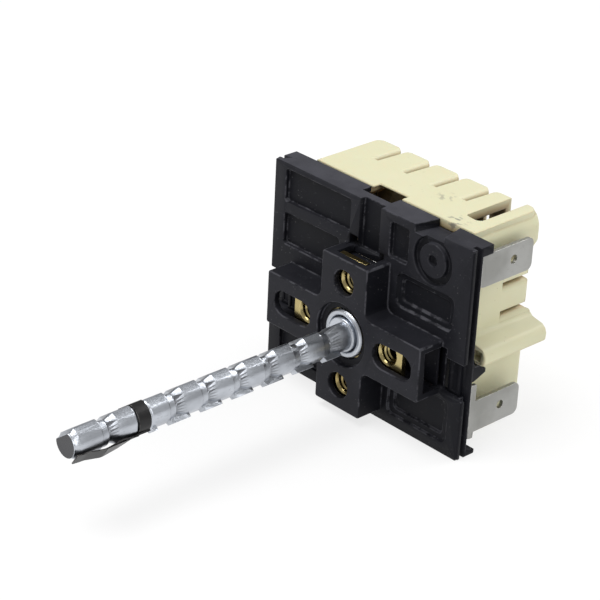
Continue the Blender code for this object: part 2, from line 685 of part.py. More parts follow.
def boss_holes():
    """The stepped hole for the bushing, two round and two long screw holes, and the tall arm's mouth."""
    front = -BOSS_HEIGHT - 1 * MM
    sink = bored("hub_sink", HUB_SINK_RADIUS, front, AXIS_HEIGHT, depth=1 * MM + HUB_SINK_DEPTH, sides=48)
    hub = bored("hub_hole", HUB_HOLE_RADIUS, front, AXIS_HEIGHT, sides=40)
    rounds = [
        bored("screw_hole", SCREW_HOLE_RADIUS, front, AXIS_HEIGHT + z) for z in (SCREW_CIRCLE, -SCREW_CIRCLE)
    ]
    reach = SLOT_LENGTH / 2
    slots = [
        outline(
            "screw_slot",
            oblong(
                (x - reach, x + reach), (AXIS_HEIGHT - SLOT_WIDTH / 2, AXIS_HEIGHT + SLOT_WIDTH / 2),
                SLOT_WIDTH / 2.05,
            ),
            "Y", front, front + 5 * MM,
        )
        for x in (SLOT_CENTRE, -SLOT_CENTRE)
    ]
    mouth = box(
        "arm_mouth", ARM_MOUTH, (-BOSS_HEIGHT + BOSS_FACE_WALL, 0.3 * MM), (BOSS_TOP - 2.5 * MM, BOSS_TOP + 1 * MM)
    )
    return [sink, hub, *rounds, *slots, mouth]


def face_recesses():
    """The shallow panels moulded in the cover's face, by their margins from its edges, its arms and its axis."""
    top, axis, right = PLATE_HEIGHT, AXIS_HEIGHT, FLANGE_HALF
    left_lower = (0.4 * MM - right, -TALL_ARM_HALF - 1.6 * MM)
    low_outer, low_inner = (2.2 * MM, axis - 5.9 * MM), (3.5 * MM, axis - 6.6 * MM)
    high_outer, high_inner = (axis + 7.5 * MM, axis + 14.1 * MM), (axis + 8.6 * MM, axis + 13.0 * MM)
    arm = TALL_ARM_HALF
    panels = [
        recess((0.3 * MM - right, -4.9 * MM), (BOSS_TOP + 1.9 * MM, top - 1.2 * MM), RECESS_DEPTH),
        recess((0.3 * MM - right, -arm - 1.75 * MM), (axis + 8.35 * MM, BOSS_TOP - 0.3 * MM), RECESS_DEPTH),
        recess((5.2 * MM, 9.7 * MM), (BOSS_TOP + 1.1 * MM, top - 1.6 * MM), RECESS_DEPTH),
        recess((arm + 1.85 * MM, right - 0.9 * MM), high_outer, RECESS_DEPTH / 2, 1.2 * MM),
        recess((arm + 2.95 * MM, right - 2.0 * MM), high_inner, RECESS_DEPTH, 0.8 * MM),
        recess((arm + 1.55 * MM, right - 0.4 * MM), low_outer, RECESS_DEPTH / 2, 1.2 * MM),
        recess((arm + 2.85 * MM, right - 1.7 * MM), low_inner, RECESS_DEPTH, 0.8 * MM),
        recess(left_lower, low_outer, RECESS_DEPTH, 1.2 * MM),
    ]
    channel = box(
        "channel", (-CHANNEL_HALF, CHANNEL_HALF), (-1 * MM, CHANNEL_DEPTH), (BOSS_TOP - 0.1 * MM, top + 1 * MM)
    )
    arm_notch = box(
        "arm_notch", (-4.8 * MM, -CHANNEL_HALF - 0.1 * MM), (-1 * MM, 3 * MM),
        (BOSS_TOP - 0.1 * MM, BOSS_TOP + 1.9 * MM),
    )
    return [*panels, channel, arm_notch]


def top_right_corner():
    """The tapered notch in the top edge, and the ring with a centre hole below it."""
    plan = [
        (DIMPLE_X - 4.9 * MM, -1 * MM), (DIMPLE_X + 2.5 * MM, -1 * MM),
        (DIMPLE_X + 0.8 * MM, COVER_DEPTH + 1 * MM), (DIMPLE_X - 3.6 * MM, COVER_DEPTH + 1 * MM),
    ]
    notch = outline("top_notch", plan, "Z", PLATE_HEIGHT - NOTCH_DROP, PLATE_HEIGHT + 1 * MM)
    ring = bored("dimple", DIMPLE_RADIUS, -1 * MM, DIMPLE_Z, DIMPLE_X, 1 * MM + RECESS_DEPTH, 40)
    boss = bored("dimple_boss", DIMPLE_BOSS_RADIUS, -1.2 * MM, DIMPLE_Z, DIMPLE_X, 2.2 * MM + RECESS_DEPTH)
    hole = bored("dimple_hole", DIMPLE_HOLE_RADIUS, -1 * MM, DIMPLE_Z, DIMPLE_X, 1.8 * MM, 20)
    return [notch, cut(ring, boss), hole]


def snap_windows(side):
    """The opening in front of one snap finger, through the plate's edge and its skin."""
    inner = BOSS_REACH_X + 0.15 * MM
    edge = box(
        "snap_window", on_side(side, inner, PLATE_HALF + 1 * MM),
        (-1 * MM, FRONT_FLANGE + SIDE_GROOVE_WIDTH - INSET), (SNAP_WINDOW_LOW, SNAP_WINDOW_HIGH),
    )
    through = box(
        "snap_opening", on_side(side, inner, FLANGE_HALF - FINGER_THICKNESS + 0.3 * MM),
        (-1 * MM, COVER_SKIN + 0.6 * MM), (SNAP_WINDOW_LOW + INSET, SNAP_WINDOW_HIGH - INSET),
    )
    return [edge, through]


def front_cover():
    """The moulded cover: plate, boss, recesses, snap fingers, seats for the terminals and the detent leaf."""
    cover = cover_plate()
    join(cover, *snap_finger(1), *snap_finger(-1))
    notch_floor = box(
        "notch_floor", (DIMPLE_X - 5.3 * MM, DIMPLE_X + 2.9 * MM), (FRONT_FLANGE, COVER_DEPTH - 2 * INSET),
        (PLATE_HEIGHT - NOTCH_DROP - NOTCH_FLOOR, PLATE_HEIGHT - NOTCH_DROP + 0.5 * MM),
    )
    join(cover, notch_floor)
    cut(cover, *boss_holes())
    cut(cover, *face_recesses())
    top_window = box(
        "top_window", TOP_WINDOW_X, (EDGE_BAR_DEPTH, COVER_DEPTH + 3 * MM),
        (PLATE_HEIGHT - 3 * MM, PLATE_HEIGHT + 1 * MM),
    )
    cut(cover, top_window, *top_right_corner(), *snap_windows(1), *snap_windows(-1))

    leg_slots = [
        box(
            "leg_slot", on_side(side, FLANGE_HALF - COVER_SIDE_WALL - 0.5 * MM, PLATE_HALF + 1 * MM),
            (LEG_FRONT - SEAT_GAP, COVER_DEPTH + 3 * MM), (low - SEAT_GAP, high + SEAT_GAP),
        )
        for side, low, high in LEG_OPENINGS
    ]
    cut(cover, *leg_slots)

    leaf_top = DETENT_Z + BLADE_THICKNESS
    clamps = [
        box("detent_clamp", DETENT_CLAMP, (COVER_SKIN - 0.3 * MM, DETENT_TRACK[1] + 0.2 * MM), span)
        for span in (
            (leaf_top + DETENT_CLAMP_GAP, leaf_top + 1.6 * MM), (DETENT_Z - 1.6 * MM, DETENT_Z - DETENT_CLAMP_GAP)
        )
    ]
    join(cover, *clamps)
    return settle(cover, "front_cover", BLACK_PLASTIC)


def comb_plan(centre):
    """One comb slot in plan, with rounded finger ends."""
    half, back, ease = COMB_SLOT / 2, HOUSING_BACK, COMB_ROUND
    return [
        (centre - half, back - COMB_DEPTH), (centre + half, back - COMB_DEPTH), (centre + half, back - ease),
        (centre + half + 0.3 * ease, back - 0.3 * ease), (centre + half + ease, back),
        (centre + half + ease, back + 1 * MM), (centre - half - ease, back + 1 * MM), (centre - half - ease, back),
        (centre - half - 0.3 * ease, back - 0.3 * ease), (centre - half, back - ease),
    ]


def comb_rounding(centre):
    """The round on the top edge of the finger to the left of a comb slot, seen from the front."""
    edge, top = centre - COMB_SLOT / 2, PLATE_HEIGHT
    return [
        (centre, top - 1.3 * MM), (centre, top + 1 * MM), (edge - 1.1 * MM, top + 1 * MM), (edge - 1.1 * MM, top),
        (edge - 0.6 * MM, top - 0.2 * MM), (edge - 0.2 * MM, top - 0.6 * MM), (edge, top - 1.15 * MM),
    ]


def side_comb(side, centre):
    """One comb slot of a side wall, and the round on the upper edge of the finger below it."""
    half, back, ease, front = SIDE_COMB_SLOT / 2, HOUSING_BACK, COMB_ROUND, HOUSING_BACK - COMB_DEPTH
    plan = [
        (front, centre - half), (back - ease, centre - half), (back, centre - half - ease),
        (back + 1 * MM, centre - half - ease), (back + 1 * MM, centre + half + ease), (back, centre + half + ease),
        (back - ease, centre + half), (front, centre + half),
    ]
    slot = outline("side_slot", plan, "X", *on_side(side, CAVITY_HALF - 4 * MM, HOUSING_HALF + 3 * MM))
    wall = HOUSING_HALF
    edge = [
        (wall - 1.1 * MM, centre - half + 0.1 * MM), (wall - 1.1 * MM, centre), (wall + 2 * MM, centre),
        (wall + 2 * MM, centre - half - 1.1 * MM), (wall, centre - half - 1.1 * MM),
        (wall - 0.15 * MM, centre - half - 0.6 * MM), (wall - 0.5 * MM, centre - half - 0.2 * MM),
    ]
    rounding = outline("side_round", [(side * x, z) for x, z in edge][::side], "Y", front, back + 1 * MM)
    return [slot, rounding]


def side_ledge(side):
    """The rounded ledge along one side, over the snap finger."""
    wall, low = HOUSING_HALF, LEDGE_LOW
    profile = [
        (wall - 1.0 * MM, low + 5.2 * MM), (wall, low + 5.2 * MM), (wall + 0.15 * MM, low + 4.3 * MM),
        (wall + 0.9 * MM, low + 3.7 * MM), (wall + 3.4 * MM, low + 3.3 * MM), (wall + 4.2 * MM, low + 2.7 * MM),
        (wall + 4.6 * MM, low + 1.7 * MM), (wall + 4.5 * MM, low + 0.4 * MM), (wall + 4.1 * MM, low),
        (wall - 1.0 * MM, low),
    ]
    span = (COVER_DEPTH + SEAT_GAP + 0.4 * MM, HOUSING_BACK + LEDGE_OVERHANG)
    return outline("side_ledge", [(side * x, z) for x, z in profile][::side], "Y", *span)


def side_cuts(side):
    """What is cut from one side: foot corner, pocket for the snap hook, and the ledge's hollow front."""
    wall, reach = HOUSING_HALF, FINGER_REACH
    corner = box(
        "corner_notch", on_side(side, wall - CORNER_NOTCH_WIDTH, wall + 1 * MM),
        (HOUSING_BACK - 6 * MM, HOUSING_BACK + 1 * MM), (-1 * MM, CORNER_NOTCH_HEIGHT),
    )
    pocket = box(
        "snap_pocket", on_side(side, wall - 0.75 * MM, wall + 0.3 * MM),
        (reach - FINGER_HOOK_LENGTH - 0.3 * MM, reach + 0.3 * MM), (FINGER_LOW + 0.2 * MM, FINGER_HIGH - 1.5 * MM),
    )
    hollow = box(
        "ledge_hollow", on_side(side, wall + 1.1 * MM, wall + 3.4 * MM), (0.0, COVER_DEPTH + 2.3 * MM),
        (LEDGE_LOW + 0.6 * MM, LEDGE_LOW + 2.6 * MM),
    )
    return [corner, pocket, hollow]


def rear_housing():
    """The ivory housing: combed top and sides, rib, ledges, bearing for the cam, boss for the lever's pin."""
    wall, half, top, back = HOUSING_WALL, HOUSING_HALF, PLATE_HEIGHT, HOUSING_BACK
    front = COVER_DEPTH + SEAT_GAP
    corners = [(-half, front), (half, front), (half, back), (-half, back)]
    plan = rounded(corners, [0.0, 0.0, HOUSING_CORNER, HOUSING_CORNER])
    housing = outline("rear_housing", plan, "Z", 0.0, top)
    rib_left, rib_right = WIDE_SLOT_RIGHT - 1 * MM, half + RIB_OVERHANG
    rib_front = rounded(
        [(rib_left, RIB_LOW), (rib_right, RIB_LOW), (rib_right, top), (rib_left, top)], [0.0, 0.0, RIB_ROUND, 0.0], 8
    )
    rib = outline("right_rib", rib_front, "Y", front, back)
    join(housing, rib, side_ledge(1), side_ledge(-1))
    cavity = box(
        "housing_cavity", (-CAVITY_HALF, CAVITY_HALF), (0.0, back - wall), (wall, top - HOUSING_TOP_WALL)
    )
    cut(housing, cavity)

    bore_radius = CAM_JOURNAL_RADIUS + SLIDE_GAP
    bearing_depth = back - BEARING_FRONT - 0.5 * MM
    bearing = bored("bearing", bore_radius + BEARING_WALL, BEARING_FRONT, AXIS_HEIGHT, depth=bearing_depth, sides=40)
    boss_front = LEVER_ROW[1] + 0.4 * MM
    boss_depth = back - boss_front - 0.6 * MM
    pin_boss = bored("pin_boss", PIN_RADIUS + 1.3 * MM, boss_front, PIVOT_Z, PIVOT_X, boss_depth, 28)
    join(housing, bearing, pin_boss)
    bore_front = LEVER_ROW[0] - 2 * MM
    bore = bored("bearing_bore", bore_radius, bore_front, AXIS_HEIGHT, depth=back - wall - bore_front, sides=40)
    pin_bore = bored("pin_bore", PIN_RADIUS + 0.05 * MM, bore_front, PIVOT_Z, PIVOT_X, back - 0.8 * MM - bore_front, 24)
    cut(housing, bore, pin_bore)

    left, right = TOP_WINDOW_X[0] + 0.2 * MM, TOP_WINDOW_X[1]
    lip = top - TOP_WINDOW_LIP
    window = box("front_window", (left, right), (0.0, TOP_WINDOW_BACK), (top - 2.6 * MM, top + 1 * MM))
    undercut = box(
        "window_undercut", (left - 0.8 * MM, right + 0.8 * MM), (0.0, TOP_WINDOW_BACK + TOP_WINDOW_UNDERCUT),
        (top - 2.5 * MM, lip),
    )
    cutters = [window, undercut]
    slot_floor = top - HOUSING_TOP_WALL - COMB_DROP
    for index in range(COMB_COUNT):
        centre = COMB_FIRST + index * COMB_PITCH
        cutters.append(outline("comb_slot", comb_plan(centre), "Z", slot_floor, top + 1 * MM))
        cutters.append(outline("comb_round", comb_rounding(centre), "Y", back - COMB_DEPTH, back + 1 * MM))
    wide = rounded([
        (WIDE_SLOT_LEFT, back - WIDE_SLOT_DEPTH), (WIDE_SLOT_RIGHT, back - WIDE_SLOT_DEPTH),
        (WIDE_SLOT_RIGHT, back + 1 * MM), (WIDE_SLOT_LEFT, back + 1 * MM),
    ], [0.5 * MM, 1.2 * MM, 0.0, 0.0])
    cutters.append(outline("wide_slot", wide, "Z", slot_floor, top + 1 * MM))
    for side in (1, -1):
        for index in range(SIDE_COMB_COUNT):
            cutters += side_comb(side, SIDE_COMB_LOW + index * SIDE_COMB_PITCH)
    for side in (1, -1):
        cutters += side_cuts(side)
    access_start = (-half - 1 * MM, LEVER_Y, CALIBRATION_Z)
    cutters.append(rod("calibration_access", 1.6 * MM, "X", access_start, 4 * MM, sides=24))
    cut(housing, *cutters)
    return settle(housing, "rear_housing", IVORY_PLASTIC)


def mounting_plate():
    """The tapped brass cross behind the boss."""
    front, back = STRAP_FRONT, STRAP_FRONT + STRAP_THICKNESS
    plan = cross(STRAP_REACH_X, STRAP_REACH_Z, STRAP_HALF, STRAP_HALF, 1.0 * MM, 0.5 * MM)
    plate = outline("strap", plan, "Y", front, back)
    ear_z = (AXIS_HEIGHT + SCREW_CIRCLE + 0.6 * MM, BOSS_TOP - 0.1 * MM)
    ear = box("strap_ear", STRAP_EAR_X, (front + INSET, back - INSET), ear_z)
    places = [(0, SCREW_CIRCLE), (0, -SCREW_CIRCLE), (SCREW_CIRCLE, 0), (-SCREW_CIRCLE, 0)]
    collars = [
        bored("collar", TAP_COLLAR_RADIUS, back - 0.3 * MM, AXIS_HEIGHT + z, x, TAP_COLLAR_LENGTH + 0.3 * MM, 24)
        for x, z in places
    ]
    join(plate, ear, *collars)
    taps = [bored("tap", TAP_RADIUS, front - 1 * MM, AXIS_HEIGHT + z, x, sides=24) for x, z in places]
    sinks = [
        rod(
            "tap_sink", TAP_RADIUS + 2 * TAP_SINK, "Y", (x, front - TAP_SINK, AXIS_HEIGHT + z), 2 * TAP_SINK,
            TAP_RADIUS, sides=24,
        )
        for x, z in places
    ]
    hub = bored("strap_hub", BUSH_SLEEVE_RADIUS + SEAT_GAP, front - 1 * MM, AXIS_HEIGHT)
    cut(plate, hub, *taps, *sinks)
    return settle(plate, "mounting_plate", BRASS)


def shaft_bushing():
    """The rolled eyelet that carries the shaft in the mounting plate."""
    bore, outer, face = BUSH_BORE, BUSH_RIM_RADIUS, STRAP_FRONT - SEAT_GAP
    rim = -BOSS_HEIGHT + 0.45 * MM
    profile = [
        (bore, rim + 0.8 * MM), (bore + 0.08 * MM, rim + 0.4 * MM), (bore + 0.3 * MM, rim + 0.1 * MM),
        (bore + 0.6 * MM, rim), (outer - 0.35 * MM, rim + 0.08 * MM), (outer, rim + 0.45 * MM),
        (outer, face - 0.2 * MM), (outer - 0.2 * MM, face), (BUSH_SLEEVE_RADIUS, face),
        (BUSH_SLEEVE_RADIUS, BUSH_FLANGE_FRONT), (BUSH_FLANGE_RADIUS, BUSH_FLANGE_FRONT),
        (BUSH_FLANGE_RADIUS, -BUSH_BACK), (bore, -BUSH_BACK),
    ]
    return settle(turned("bushing", profile, 40), "shaft_bushing", CAST_ZINC)


def d_ring(radius, flat, y, facet=0.0, sides=SHAFT_SIDES):
    """Points round a D section at one place along the shaft. facet is how deep a side is planed flat."""
    ring = []
    for k in range(sides):
        around = 2 * math.pi * k / sides
        dot = Vector((radius * math.cos(around), radius * math.sin(around)))
        dot.x = min(dot.x, flat)
        dot.rotate(Matrix.Rotation(SHAFT_FLAT_ANGLE, 2))
        if facet:
            away = Vector((math.cos(FACET_ANGLE), math.sin(FACET_ANGLE)))
            dot -= away * max(0.0, dot.dot(away) - radius + facet)
        ring.append((dot.x, y, AXIS_HEIGHT + dot.y))
    return ring


def crest_ends():
    return [FIRST_CREST_END - SHAFT_REACH + CREST_PITCH * k for k in range(CREST_COUNT)]


def across_flat(thing):
    """Turn a piece made on the top of the shaft to the side opposite the flat."""
    return turned_by(thing, SHAFT_FLAT_ANGLE + math.pi / 2)


def crest_stations(index, end):
    """Sections of one crest, its collar and its neck: (y, radius, flat, facet)."""
    radius, flat = SHAFT_RADIUS, SHAFT_FLAT
    neck, neck_flat = radius - NECK_INSET, flat - NECK_FLAT_INSET
    stations = []
    if index > 0:
        start = end - CREST_LENGTH
        stations += [(start, radius, flat, 0.0), (start + CREST_EDGE, radius, flat, FACET_DEPTH)]
    stations += [(end - CREST_EDGE, radius, flat, FACET_DEPTH), (end, radius, flat, 0.0)]
    if index == CLIP_CREST:
        return stations + [
            (end + CREST_EDGE, neck, neck_flat, 0.0), (end + CLIP_BAND_WIDTH + 0.15 * MM, neck, neck_flat, 0.0)
        ]
    collar, collar_flat = radius - COLLAR_INSET, flat - COLLAR_FLAT_INSET
    return stations + [
        (end + CREST_EDGE, collar, collar_flat, 0.0), (end + COLLAR_LENGTH, collar, collar_flat, 0.0),
        (end + COLLAR_LENGTH + CREST_EDGE, neck, neck_flat, 0.0), (end + NECK_END, neck, neck_flat, 0.0),
    ]


def shaft():
    """The cast shaft: ribbed D outside, round in the bushing, D again in the cam."""
    tip, shoulder = -SHAFT_REACH, -BOSS_HEIGHT
    stations = [
        (tip, SHAFT_RADIUS - TIP_INSET + 0.35 * MM, SHAFT_FLAT - 0.6 * MM, 0.0),
        (tip + 0.35 * MM, SHAFT_RADIUS - 0.15 * MM, SHAFT_FLAT - 0.4 * MM, 0.0),
        (tip + TIP_CHAMFER, SHAFT_RADIUS, SHAFT_FLAT, 0.0),
    ]
    for index, end in enumerate(crest_ends()):
        stations += crest_stations(index, end)
    near, groove, inner = SHAFT_RADIUS - 0.05 * MM, RING_GROOVE_RADIUS, SHAFT_INNER_RADIUS
    stations += [
        (shoulder - 2.0 * MM, near, SHAFT_FLAT - 0.05 * MM, 0.0),
        (shoulder + 0.05 * MM, near, SHAFT_FLAT - 0.05 * MM, 0.0),
        (shoulder + 0.1 * MM, SHOULDER_RADIUS - 0.1 * MM, SHOULDER_RADIUS, 0.0),
        (shoulder + 0.25 * MM, SHOULDER_RADIUS, SHOULDER_RADIUS, 0.0),
        (RING_FRONT - 0.15 * MM, SHOULDER_RADIUS, SHOULDER_RADIUS, 0.0), (RING_FRONT - 0.1 * MM, groove, groove, 0.0),
        (RING_FRONT + 0.7 * MM, groove, groove, 0.0), (RING_FRONT + 0.75 * MM, inner, SHAFT_INNER_FLAT, 0.0),
        (SHAFT_INNER_END - 0.5 * MM, inner, SHAFT_INNER_FLAT, 0.0),
        (SHAFT_INNER_END, inner - 0.5 * MM, SHAFT_INNER_FLAT - 0.2 * MM, 0.0),
    ]
    core = loft("shaft_core", [d_ring(radius, flat, y, facet) for y, radius, flat, facet in stations])
    pads, nicks = [], []
    for index, end in enumerate(crest_ends()):
        if index >= CLIP_CREST:
            first = end + (CLIP_BAND_WIDTH + 0.25 * MM if index == CLIP_CREST else 0.2 * MM)
            last = min(end + PAD_LENGTH, shoulder - 2.2 * MM)
            crown = SHAFT_RADIUS + PAD_PROUD
            profile = [
                (first, SHAFT_RADIUS / 2), (last, SHAFT_RADIUS / 2), (last, crown - 0.1 * MM), (last - 0.1 * MM, crown),
                (first + 0.5 * MM, crown), (first, crown - 0.4 * MM),
            ]
            pad = outline("pad", [(y, r + AXIS_HEIGHT) for y, r in profile], "X", -PAD_WIDTH / 2, PAD_WIDTH / 2)
            pads.append(across_flat(pad))
        if index != CLIP_CREST:
            back = end + NECK_END
            dart = [
                (back - 0.45 * MM, SHAFT_RADIUS - 0.8 * MM), (back + 0.75 * MM, SHAFT_RADIUS + 1 * MM),
                (back - 0.5 * MM, SHAFT_RADIUS + 1 * MM),
            ]
            nick = outline("nick", [(y, r + AXIS_HEIGHT) for y, r in dart], "X", -0.7 * MM, 0.7 * MM)
            nicks.append(turned_by(nick, SHAFT_FLAT_ANGLE - math.pi))
    join(core, *pads)
    cut(core, *nicks)
    return settle(core, "shaft", CAST_ZINC, SHAFT_AXIS)


def knob_clip():
    """The spring clip: a band in the neck and a bumped tongue along the shaft's round side."""
    end, tip, radius = crest_ends()[CLIP_CREST], -SHAFT_REACH, SHAFT_RADIUS
    low, high = end + 0.3 * MM, end + CLIP_BAND_WIDTH
    inside, inside_flat = radius - NECK_INSET + CLIP_GAP, SHAFT_FLAT - NECK_FLAT_INSET + CLIP_GAP
    outer_ring = [(x, z) for x, _, z in d_ring(inside + CLIP_THICKNESS, inside_flat + CLIP_THICKNESS, 0.0)]
    inner_ring = [(x, z) for x, _, z in d_ring(inside, inside_flat, 0.0)]
    band = outline("clip_band", outer_ring, "Y", low, high)
    hole = outline("clip_hole", inner_ring, "Y", low - 1 * MM, high + 1 * MM)
    cut(band, hole)
    seat = inside + 0.12 * MM
    path = [
        (high - 0.05 * MM, seat), (low + 0.05 * MM, seat), (low - 0.22 * MM, radius + 0.1 * MM),
        (tip + 9.0 * MM, radius + 0.55 * MM), (tip + CLIP_BUMP_FROM_TIP + 0.3 * MM, CLIP_BUMP),
        (tip + CLIP_BUMP_FROM_TIP - 0.3 * MM, CLIP_BUMP), (tip + 2.4 * MM, radius + 0.15 * MM),
        (tip + 1.3 * MM, radius + 0.08 * MM), (tip + 0.1 * MM, radius - 0.08 * MM),
    ]
    strip = [(y, AXIS_HEIGHT + r) for y, r in path]
    strip += [(y, AXIS_HEIGHT + r + CLIP_THICKNESS) for y, r in path[::-1]]
    tongue = outline("clip_tongue", strip, "X", -CLIP_TONGUE_WIDTH / 2, CLIP_TONGUE_WIDTH / 2)
    join(band, across_flat(tongue))
    return settle(band, "knob_clip", BLACK_STEEL, SHAFT_AXIS)


def retaining_ring():
    """The open ring in the shaft's groove behind the bushing."""
    inner = RING_GROOVE_RADIUS + 0.08 * MM
    front, before, reach = RING_FRONT, RING_FRONT - 1 * MM, RING_RADIUS + 2 * MM
    ring = bored("ring", RING_RADIUS, front, AXIS_HEIGHT, depth=RING_THICKNESS, sides=28)
    hole = bored("ring_hole", inner, before, AXIS_HEIGHT, sides=20)
    mouth_x = inner * 0.85
    mouth = box("ring_mouth", (-mouth_x, mouth_x), (before, front + 2 * MM), (AXIS_HEIGHT - reach, AXIS_HEIGHT))
    lobes = [
        bored("ring_lobe", 1.0 * MM, before, AXIS_HEIGHT + 0.9 * MM, side * (inner + 1.0 * MM), sides=12)
        for side in (1, -1)
    ]
    cut(ring, hole, mouth, *lobes)
    return settle(ring, "shaft_retaining_ring", BLACK_STEEL, SHAFT_AXIS)


def return_spring():
    """The compression spring that pushes the shaft out, seated in the cam."""
    start = RING_FRONT + RING_THICKNESS + 0.35 * MM + SPRING_WIRE
    finish_y = SPRING_SEAT - SLIDE_GAP - SPRING_WIRE / 2
    steps = 14
    count = SPRING_TURNS * steps
    points = []
    for k in range(count + 1):
        around = 2 * math.pi * k / steps
        y = start + (finish_y - start) * k / count
        points.append((SPRING_RADIUS * math.cos(around), y, AXIS_HEIGHT + SPRING_RADIUS * math.sin(around)))
    return settle(wire("spring", points, SPRING_WIRE / 2), "return_spring", PLATED_STEEL, SHAFT_AXIS)


def lobed(base, peak, middle, half, ramp, sides=60):
    """Round a cam track: base everywhere, peak within half of the middle angle, a ramp on each side."""
    points = []
    for k in range(sides):
        angle = 2 * math.pi * k / sides
        off = abs((angle - middle + math.pi) % (2 * math.pi) - math.pi)
        share = min(1.0, max(0.0, (half + ramp - off) / ramp))
        radius = base + (peak - base) * share
        points.append((radius * math.cos(angle), AXIS_HEIGHT + radius * math.sin(angle)))
    return points


def heat_spiral(sides=48):
    """The heat track: it falls slowly over most of the turn and comes back over the rest."""
    points = []
    for k in range(sides):
        turn = k / sides
        fall = turn / HEAT_FALL if turn < HEAT_FALL else (1 - turn) / (1 - HEAT_FALL)
        radius = CAM_RADIUS - (CAM_RADIUS - HEAT_TRACK_LEAST) * fall
        angle = math.pi - 2 * math.pi * turn
        points.append((radius * math.cos(angle), AXIS_HEIGHT + radius * math.sin(angle)))
    return points[::-1]


def cam():
    """Four tracks on one hub: detent flange, line lobe, pilot lobe and heat spiral."""
    back = HEAT_TRACK[1]
    hub_front = DETENT_TRACK[0] + 0.5 * MM
    body = bored("cam_hub", CAM_HUB_RADIUS, hub_front, AXIS_HEIGHT, depth=back - 0.5 * MM - hub_front, sides=36)
    notch = lobed(CAM_RADIUS, CAM_RADIUS - DETENT_NOTCH, math.pi / 2 + OFF_TO_REST, math.radians(3), math.radians(9))
    flange = outline("detent_track", notch, "Y", *DETENT_TRACK)
    lobes = [
        outline(name, lobed(CAM_BASE_RADIUS, CAM_RADIUS, middle, OFF_LOBE_HALF, OFF_LOBE_RAMP), "Y", *track)
        for name, middle, track in (
            ("line_track", OFF_TO_REST, LINE_TRACK), ("pilot_track", OFF_TO_REST - math.pi / 2, PILOT_TRACK)
        )
    ]
    heat = outline("heat_track", heat_spiral(), "Y", *HEAT_TRACK)
    journal = bored("cam_journal", CAM_JOURNAL_RADIUS, back - 1 * MM, AXIS_HEIGHT, depth=CAM_END - back + 1 * MM)
    join(body, flange, *lobes, heat, journal)
    pocket = bored("spring_pocket", CAM_SPRING_POCKET, 0.0, AXIS_HEIGHT, depth=SPRING_SEAT)
    bore_ring = d_ring(SHAFT_INNER_RADIUS + SLIDE_GAP, SHAFT_INNER_FLAT + SLIDE_GAP, 0.0, sides=24)
    bore = outline("cam_bore", [(x, z) for x, _, z in bore_ring], "Y", 1 * MM, CAM_END + 2 * MM)
    lightening = []
    reach = (CAM_HUB_RADIUS + CAM_BASE_RADIUS) / 2
    for k in range(4):
        angle = math.pi / 4 + math.pi / 2 * k
        x, z = reach * math.cos(angle), AXIS_HEIGHT + reach * math.sin(angle)
        lightening.append(bored("cam_core", 0.8 * MM, HEAT_TRACK[0] - 1 * MM, z, x, sides=12))
    cut(body, pocket, bore, *lightening)
    return settle(body, "cam", CAM_PLASTIC, SHAFT_AXIS)


def terminal(side, centre, inner_face, inner_z, inner_end, foot=None, inner_drop=None, extras=()):
    """A bent terminal: blade outside, leg through the cover's edge, tab inside.

    side is 1 on the right and -1 on the left. inner_face is the |x| of the inner tab's face nearer the cam.
    """
    low, high = centre - TAB_WIDTH / 2, centre + TAB_WIDTH / 2
    front, t = LEG_FRONT, TAB_THICKNESS
    outer_plan = [
        (TAB_OUT - 3 * t, front), (TAB_OUT - t, front), (TAB_OUT - 0.3 * t, front + 0.3 * t),
        (TAB_OUT, front + t), (TAB_OUT, TAB_END), (TAB_OUT - t, TAB_END), (TAB_OUT - t, front + t),
        (TAB_OUT - 3 * t, front + t),
    ]
    blade = outline("blade_tab", [(side * x, y) for x, y in outer_plan][::side], "Z", low, high)
    joins = []
    if foot:
        x, y = TAB_OUT - INSET, front + INSET
        foot_plan = [
            (x - 2 * t, y), (x - t, y), (x - 0.3 * t, y + 0.3 * t), (x, y + t), (x, y + 1.7 * t),
            (x - t + 2 * INSET, y + 1.7 * t), (x - t + 2 * INSET, y + t - 2 * INSET), (x - 2 * t, y + t - 2 * INSET),
        ]
        joins.append(outline("tab_foot", [(side * u, v) for u, v in foot_plan][::side], "Z", *foot))
    drop = inner_drop or (low + 0.25 * MM, high - 0.25 * MM)
    leg_outer = on_side(side, LEG_JOIN[0], TAB_OUT - 2 * t)
    leg_inner = on_side(side, inner_face + INSET, LEG_JOIN[1])
    outer_z = (low + 0.2 * MM, high - 0.2 * MM)
    joins.append(box("leg", leg_outer, (front + 2 * INSET, front + t - 2 * INSET), outer_z))
    joins.append(box("leg_inner", leg_inner, (front + 3 * INSET, front + t - 3 * INSET), drop))
    if inner_z:
        tab_x = on_side(side, inner_face, inner_face + t)
        joins.append(box("inner_tab", tab_x, (front + 4 * INSET, inner_end), inner_z))
    joins.extend(extras)
    join(blade, *joins)
    hole_start = (side * (TAB_OUT + 1.6 * MM), TAB_END - TAB_HOLE_BACK, centre + 0.15 * MM)
    hole = rod("tab_hole", TAB_HOLE_RADIUS, "X", hole_start, -side * 4 * MM, sides=20)
    corners = [tab_corner(side, z, way) for z, way in ((low, -1), (high, 1))]
    return blade, [hole, *corners]


def tab_corner(side, edge, way):
    """The round of one corner of a terminal's end. way is 1 for the upper corner and -1 for the lower."""
    start = TAB_END - TAB_ROUND
    arc = []
    for step in range(5):
        angle = math.pi / 2 * step / 4
        arc.append((start + TAB_ROUND * math.sin(angle), edge - way * TAB_ROUND * (1 - math.cos(angle))))
    beyond = [(TAB_END + 0.5 * MM, edge - way * TAB_ROUND), (TAB_END + 0.5 * MM, edge + way * 0.5 * MM)]
    points = [(start, edge + way * 0.5 * MM), *arc, *beyond]
    return outline("tab_corner", points, "X", *on_side(side, TAB_OUT - 1.4 * MM, TAB_OUT + 0.6 * MM))


